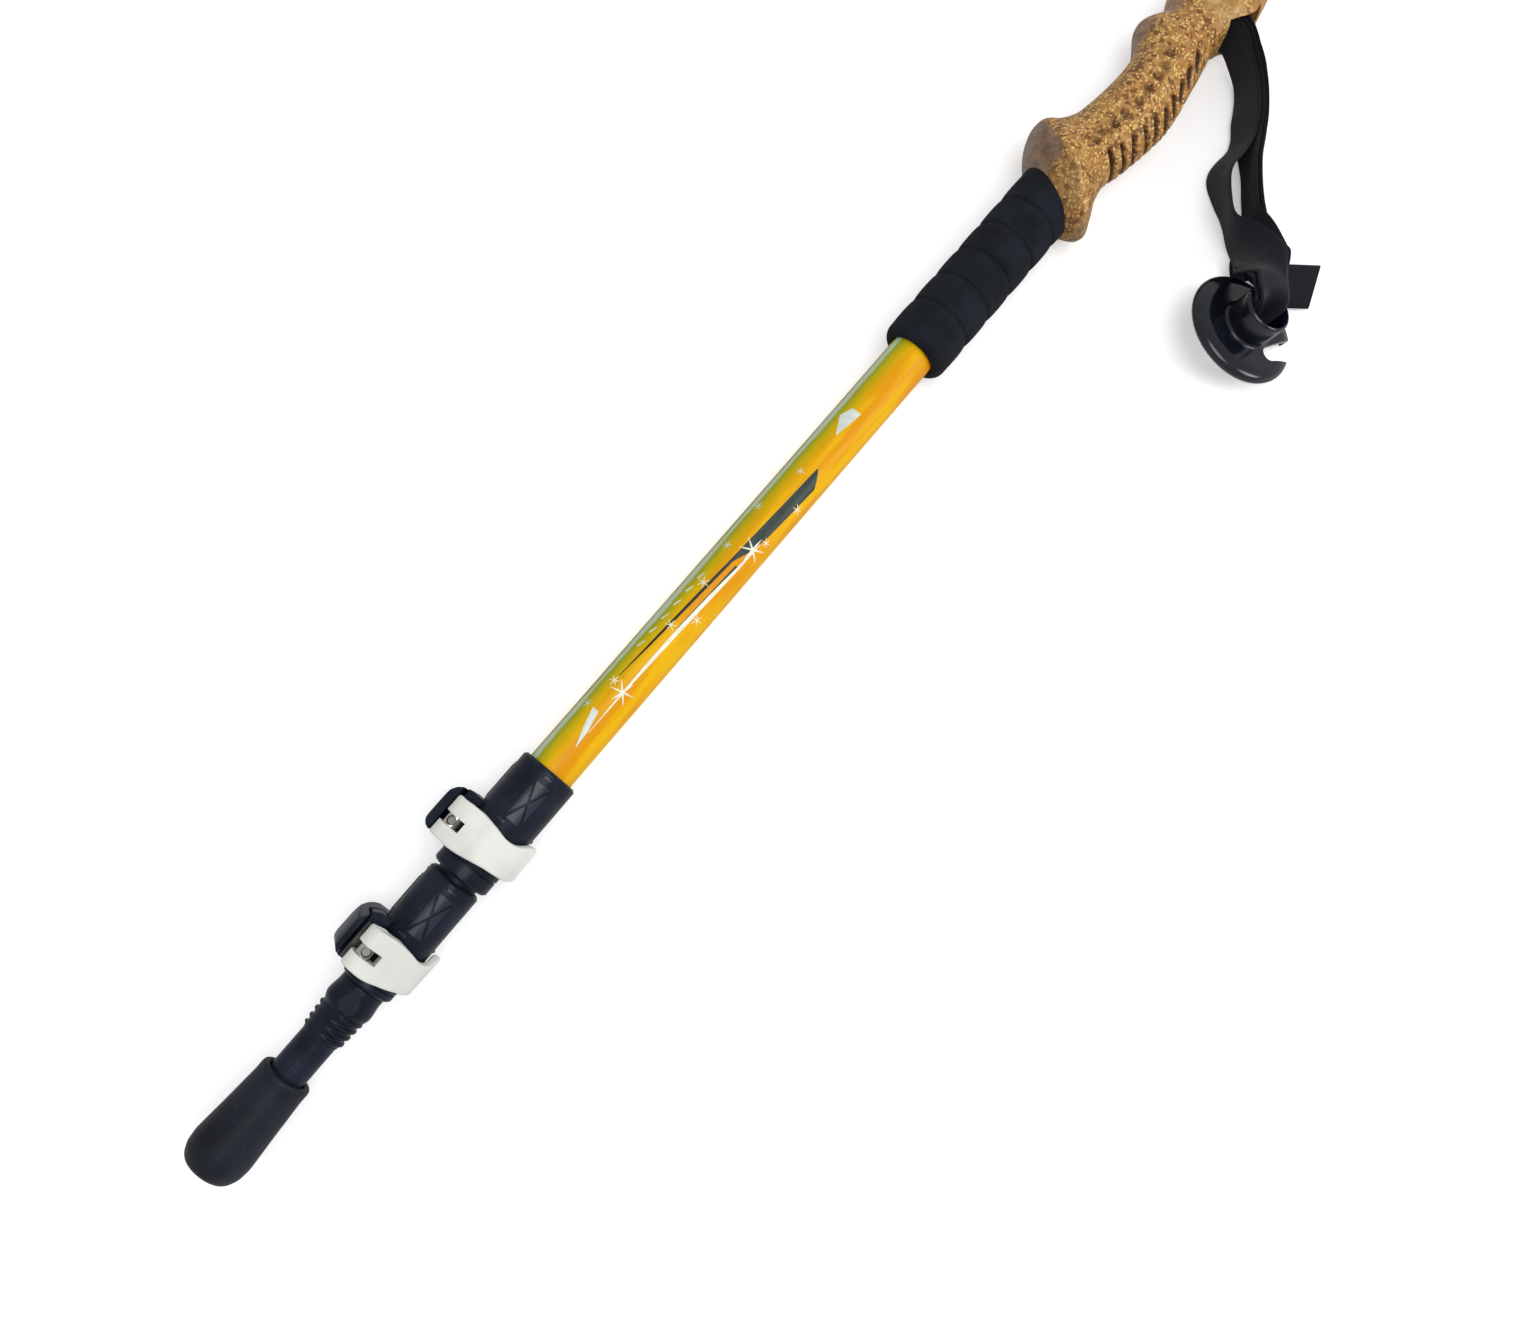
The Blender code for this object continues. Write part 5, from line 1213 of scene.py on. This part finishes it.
def make_ferrule():
    """Shank by a profile, plus the thread: a rib 0.85 high whose middle is where
    (x - start) / pitch - a / 2 pi is whole, run in and out at its ends and low over two sides, and
    a flat on the collar at a distance of 8.1 from the axis."""
    shank = [(20.1, 0.02), (20.1, 2.05), (8.0, 2.05), (8.0, 4.0), (8.8, 4.56), (36.0, 6.6),
             (53.4, 6.6), (54.0, 6.85), (64.6, 7.6), (66.4, 8.6), (67.6, 8.9), (69.2, 8.8),
             (72.5, 8.3), (75.0, 8.3), (75.5, 7.9), (75.5, 7.3), (64.0, 7.3), (64.0, 0.02)]
    pts = rounded(shank, 0.7, 5)
    start, stop = (int(np.argmax((pts[:, 0] > x) & (pts[:, 1] > 6.6))) for x in (53.9, 65.9))
    fine = 90
    xs = np.linspace(pts[start, 0], pts[stop, 0], fine)
    rs = np.interp(xs, pts[start:stop + 1, 0], pts[start:stop + 1, 1])
    profile = np.concatenate([pts[:start], np.column_stack([xs, rs]), pts[stop + 1:]])
    threaded = np.zeros((len(profile), 1))
    threaded[start:start + fine] = 1.0
    a = around(144)
    x, r = profile[:, :1], profile[:, 1:]
    turns = (x - THREAD_START) / THREAD_PITCH - a / TAU
    off = np.abs(turns - np.round(turns)) * THREAD_PITCH
    sides = 0.12 + 0.88 * ease((np.abs(np.cos(a - math.radians(160.0))) - 0.55) / 0.35)
    ends = ease((x - 54.0) / 1.2) * ease((65.6 - x) / 1.2) * (r > 6.0)
    r = r + THREAD_HEIGHT * ease((1.05 - off) / 0.75) * sides * ends * threaded
    lean = np.cos(a - math.radians(105.0))
    flat = np.where(lean > 0.5, COLLAR_FLAT / np.maximum(lean, 0.5), 99.0)
    r = np.where((x > 66.0) & (r > 7.6), np.minimum(r, flat), r)
    ferrule = surface("threaded_ferrule", about_axis(x, r, a), THREADED, "tip_section", 40.0)
    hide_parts("tip_ferrule")


make_foot()
make_ferrule()


# Locks: rounded copies of their solids, and the raised pattern on the sleeves

UPPER_LOCK_X = 128.1
LOWER_LOCK_X = 79.0
LOWER_ROLL = math.radians(28.0)
CLAMP_EDGE = 0.45
BARREL_Z = 11.5
BARREL_HOLE = 3.1
CAM_RADIUS = 4.2
CAM_LOBE = 0.7
LOBE_HALF = math.radians(52.0)
ARM_THICK = 3.0
FORK_MIDDLE = 7.8
FORK_HALF = 2.05
LEVER_PLAN = (
    (0.0, 0.4, 16.2), (0.15, 0.2, 16.5), (0.35, 1.4, 15.6), (0.5, 2.3, 14.6), (0.65, 2.6, 15.0),
    (0.85, 3.0, 17.5), (1.0, 4.2, 17.9),
)

for node, name, body in (("upper_clamp", "upper_clamp_body", "handle_section"),
                         ("lower_clamp", "lower_clamp_body", "middle_section")):
    fair_copy(node, name, CLAMP, CLAMP_EDGE, body)


def meet(s, p0, m0, p1):
    """Cubic from p0 with slope m0 to p1 with slope 0 while s goes from 0 to 1."""
    return ((2 * s ** 3 - 3 * s ** 2 + 1) * p0 + (s ** 3 - 2 * s ** 2 + s) * m0
            + (3 * s ** 2 - 2 * s ** 3) * p1)


def into_arm(a, cam, arm, begin, finish):
    """Radius at angles a: the cam's up to begin, the arm's from finish, a smooth curve between."""
    step = 0.2
    here = np.interp(begin, a, cam)
    slope = (here - np.interp(begin - step, a, cam)) / step * (finish - begin)
    s = np.clip((a - begin) / (finish - begin), 0, 1)
    between = meet(s, here, slope, np.interp(finish, a, arm))
    return np.where(a < begin, cam, np.where(a > finish, arm, between))


def make_lever_arm(prefix, start, ring, roll, end):
    """Cam lever as sections on half-planes through the shaft's axis, at angles from the far side of
    its cam to the thumb end. Near the hinge the inner and outer radius follow the cam's outline,
    4.2 plus a lobe of 0.7 towards the plate, about the barrel; past it they run smoothly into the
    arch. Each section is a rectangle with round corners; the fork and the barrel's hole are cut."""
    barrel_y = ring + GAP
    arch = ring + 0.5
    t = around(1440)
    off = np.abs((t - 1.5 * math.pi + math.pi) % TAU - math.pi)
    cam = CAM_RADIUS + CAM_LOBE * np.cos(np.clip(off / LOBE_HALF, 0, 1) * math.pi / 2) ** 2
    cam_y, cam_z = barrel_y + cam * np.cos(t), BARREL_Z + cam * np.sin(t)
    angle, reach = np.degrees(np.arctan2(cam_z, cam_y)), np.hypot(cam_y, cam_z)
    first = int(angle.argmin())
    angle, reach = np.roll(angle, -first), np.roll(reach, -first)
    last = int(angle.argmax())
    middle = math.degrees(math.atan2(BARREL_Z, barrel_y))
    q = np.linspace(0.06, math.pi / 2, 26)
    near_cam = angle[0] + (middle - angle[0]) * (1 - np.cos(q))
    a = np.concatenate([near_cam, np.linspace(middle, end, 150)[1:]])
    place = np.clip((a - 50.0) / 140.0, 0, 1)
    flare = ease((place - 0.84) / 0.16)
    arm_out = arch + ARM_THICK + 0.3 * np.cos(math.pi * place) + 1.0 * flare
    cam_out = np.interp(a, angle[:last + 1], reach[:last + 1])
    cam_in = np.interp(a, angle[last:][::-1], reach[last:][::-1])
    r_out = into_arm(a, cam_out, arm_out, middle + 7.0, middle + 44.0)
    r_in = into_arm(a, cam_in, arch + 0.5 * flare, middle + 6.0, middle + 22.0)
    plan = through(LEVER_PLAN, 12).T
    tip = np.clip(1 - np.radians(a - angle[0]) * math.hypot(barrel_y, BARREL_Z) / 3.2, 0, 1)
    nip = 2.4 * (1 - np.sqrt(1 - tip ** 2))
    x_low = np.interp(place, plan[0], plan[1]) + nip
    x_high = np.interp(place, plan[0], plan[2]) - nip
    rear = np.clip(1 - np.radians(end - a) * (arch + ARM_THICK) / 1.4, 0, 1)
    thin = 0.55 * (1 - np.sqrt(np.clip(1 - rear ** 2, 0, 1)))
    r_in, r_out = r_in + thin, r_out - thin
    half_x, half_r = (x_high - x_low)[:, None] / 2, (r_out - r_in)[:, None] / 2
    corner = np.minimum(0.9, 0.96 * half_r)
    turn = (np.linspace(0, math.pi / 2, 8) + np.arange(4)[:, None] * math.pi / 2).reshape(1, -1)
    x = np.repeat([1.0, -1.0, -1.0, 1.0], 8) * (half_x - corner) + corner * np.cos(turn)
    r = np.repeat([1.0, 1.0, -1.0, -1.0], 8) * (half_r - corner) + corner * np.sin(turn)
    x, r = x + (x_low + x_high)[:, None] / 2, r + (r_in + r_out)[:, None] / 2
    lean = math.radians(7.2) * flare[:, None] * (x - x_low[:, None]) / (x_high - x_low)[:, None]
    grid = about_axis(start + x, r, np.radians(a)[:, None] - lean + roll)
    lever = surface(prefix + "_lever_arm", grid, WHITE, prefix + "_lever_body", 50.0)

    def set_down(p):
        return np.column_stack([start + p[:, 2], swung(p[:, :2], roll)])

    left, right = barrel_y - 4.9, barrel_y + 8.0
    low, high = BARREL_Z - 8.0, BARREL_Z + 9.5
    window = [(left, low), (right, low), (right, high), (left, high)]
    circle = [(barrel_y + BARREL_HOLE * math.cos(s), BARREL_Z + BARREL_HOLE * math.sin(s))
              for s in around(48)]
    carve(lever, 40.0, prism("fork_cutter", window, FORK_MIDDLE - FORK_HALF,
                             FORK_MIDDLE + FORK_HALF, set_down),
          prism("barrel_cutter", circle, -10.0, 30.0, set_down))
    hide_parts(prefix + "_lever")


make_lever_arm("upper", UPPER_LOCK_X, 11.2, 0.0, 187.0)
make_lever_arm("lower", LOWER_LOCK_X, 10.2, LOWER_ROLL, 190.0)

PATTERN_X = 28.2
PATTERN_HALF = 3.375
PAD_REACH = 7.4
END_PAD_REACH = 8.3
PAD_HEIGHT = 0.4
PAD_BEVEL = 0.35
PAD_SINK = 0.3
BAR_HALF = 1.9


def raised_pad(name, body, radius, corners, height):
    """Raised plate on a sleeve with (x, arc in degrees) corners: rings from its middle out to the
    edge on top, down a bevel 0.35 wide and back underneath, sunk 0.3 into the sleeve."""
    pts = np.asarray(corners, float)
    nxt = np.roll(pts, -1, axis=0)
    t = (np.arange(10) / 10)[None, :, None]
    edge = (pts[:, None] + (nxt - pts)[:, None] * t).reshape(-1, 2) * (1.0, math.radians(radius))
    middle = edge.mean(axis=0)
    out = edge - middle
    bevel = 1 - PAD_BEVEL / np.abs(out).max()
    ring = np.array([0.02, 0.35, 0.7, bevel, 1.0, 1.0, 0.5, 0.02])[:, None, None]
    up = np.array([height] * 4 + [0.0] + [-PAD_SINK] * 3)[:, None]
    flat = middle + out * ring
    grid = about_axis(flat[..., 0], radius + up, flat[..., 1] / radius)
    # The pads' finish is lighter than the sleeve's, a painted highlight.
    surface(name, grid, RAISED_PAINTED_LIGHTER, body, 25.0)


def make_sleeve_pattern(prefix, body, start, radius, middle):
    """Four raised triangles that leave a crossed pair of grooves, and a short bar at each end, on
    three sides of the sleeve. Half is the pattern's half width in degrees."""
    centre = start + PATTERN_X
    half = math.degrees(PATTERN_HALF / radius)
    bar = math.degrees(BAR_HALF / radius)
    for side in range(3):
        m = middle + 120.0 * side
        tag = "%s_sleeve_%d_" % (prefix, side + 1)
        pads = []
        for sign in (-1, 1):
            arc, point = m + sign * half, m + sign * 1.8
            pads.append(((centre - PAD_REACH, arc), (centre + PAD_REACH, arc), (centre, point)))
        for sign in (-1, 1):
            x, point = centre + sign * END_PAD_REACH, centre + sign * 0.9
            pads.append(((x, m - half * 0.86), (x, m + half * 0.86), (point, m)))
        for letter, corners in zip("abcd", pads):
            raised_pad(tag + "pad_" + letter, body, radius, corners, PAD_HEIGHT)
        for label, x, length, arc, height in (("bar_low", centre - 10.4, 1.3, m - half, 0.6),
                                              ("bar_high", centre + 10.0, 1.2, m, 0.5)):
            corners = ((x, arc - bar), (x + length, arc - bar), (x + length, arc + bar),
                       (x, arc + bar))
            raised_pad(tag + label, body, radius, corners, height)


make_sleeve_pattern("upper", "handle_section", UPPER_LOCK_X, 11.35, 110.0)
make_sleeve_pattern("lower", "middle_section", LOWER_LOCK_X, 10.2, 112.0)


# Finishes of the solids that stay

for finish, nodes in (
        (STEEL, ("strap_pin", "upper_clamp_screw", "lower_clamp_screw", "upper_washer",
                 "lower_washer", "foot_washer")),
        (NICKEL, ("upper_barrel_nut", "lower_barrel_nut")),
        # The cam plates take the darkened steel, painted shade.
        (PLATE_STEEL_PAINTED_SHADE, ("upper_cam_plate", "lower_cam_plate")),
        (DARK_TUBE, ("middle_tube", "lower_tube")),
        (BUSH, ("middle_guide_bush", "lower_guide_bush")),
        (CARBIDE, ("carbide_tip",))):
    for node in nodes:
        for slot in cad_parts[node].material_slots:
            slot.material = finish

bpy.context.scene.view_settings.view_transform = "Standard"
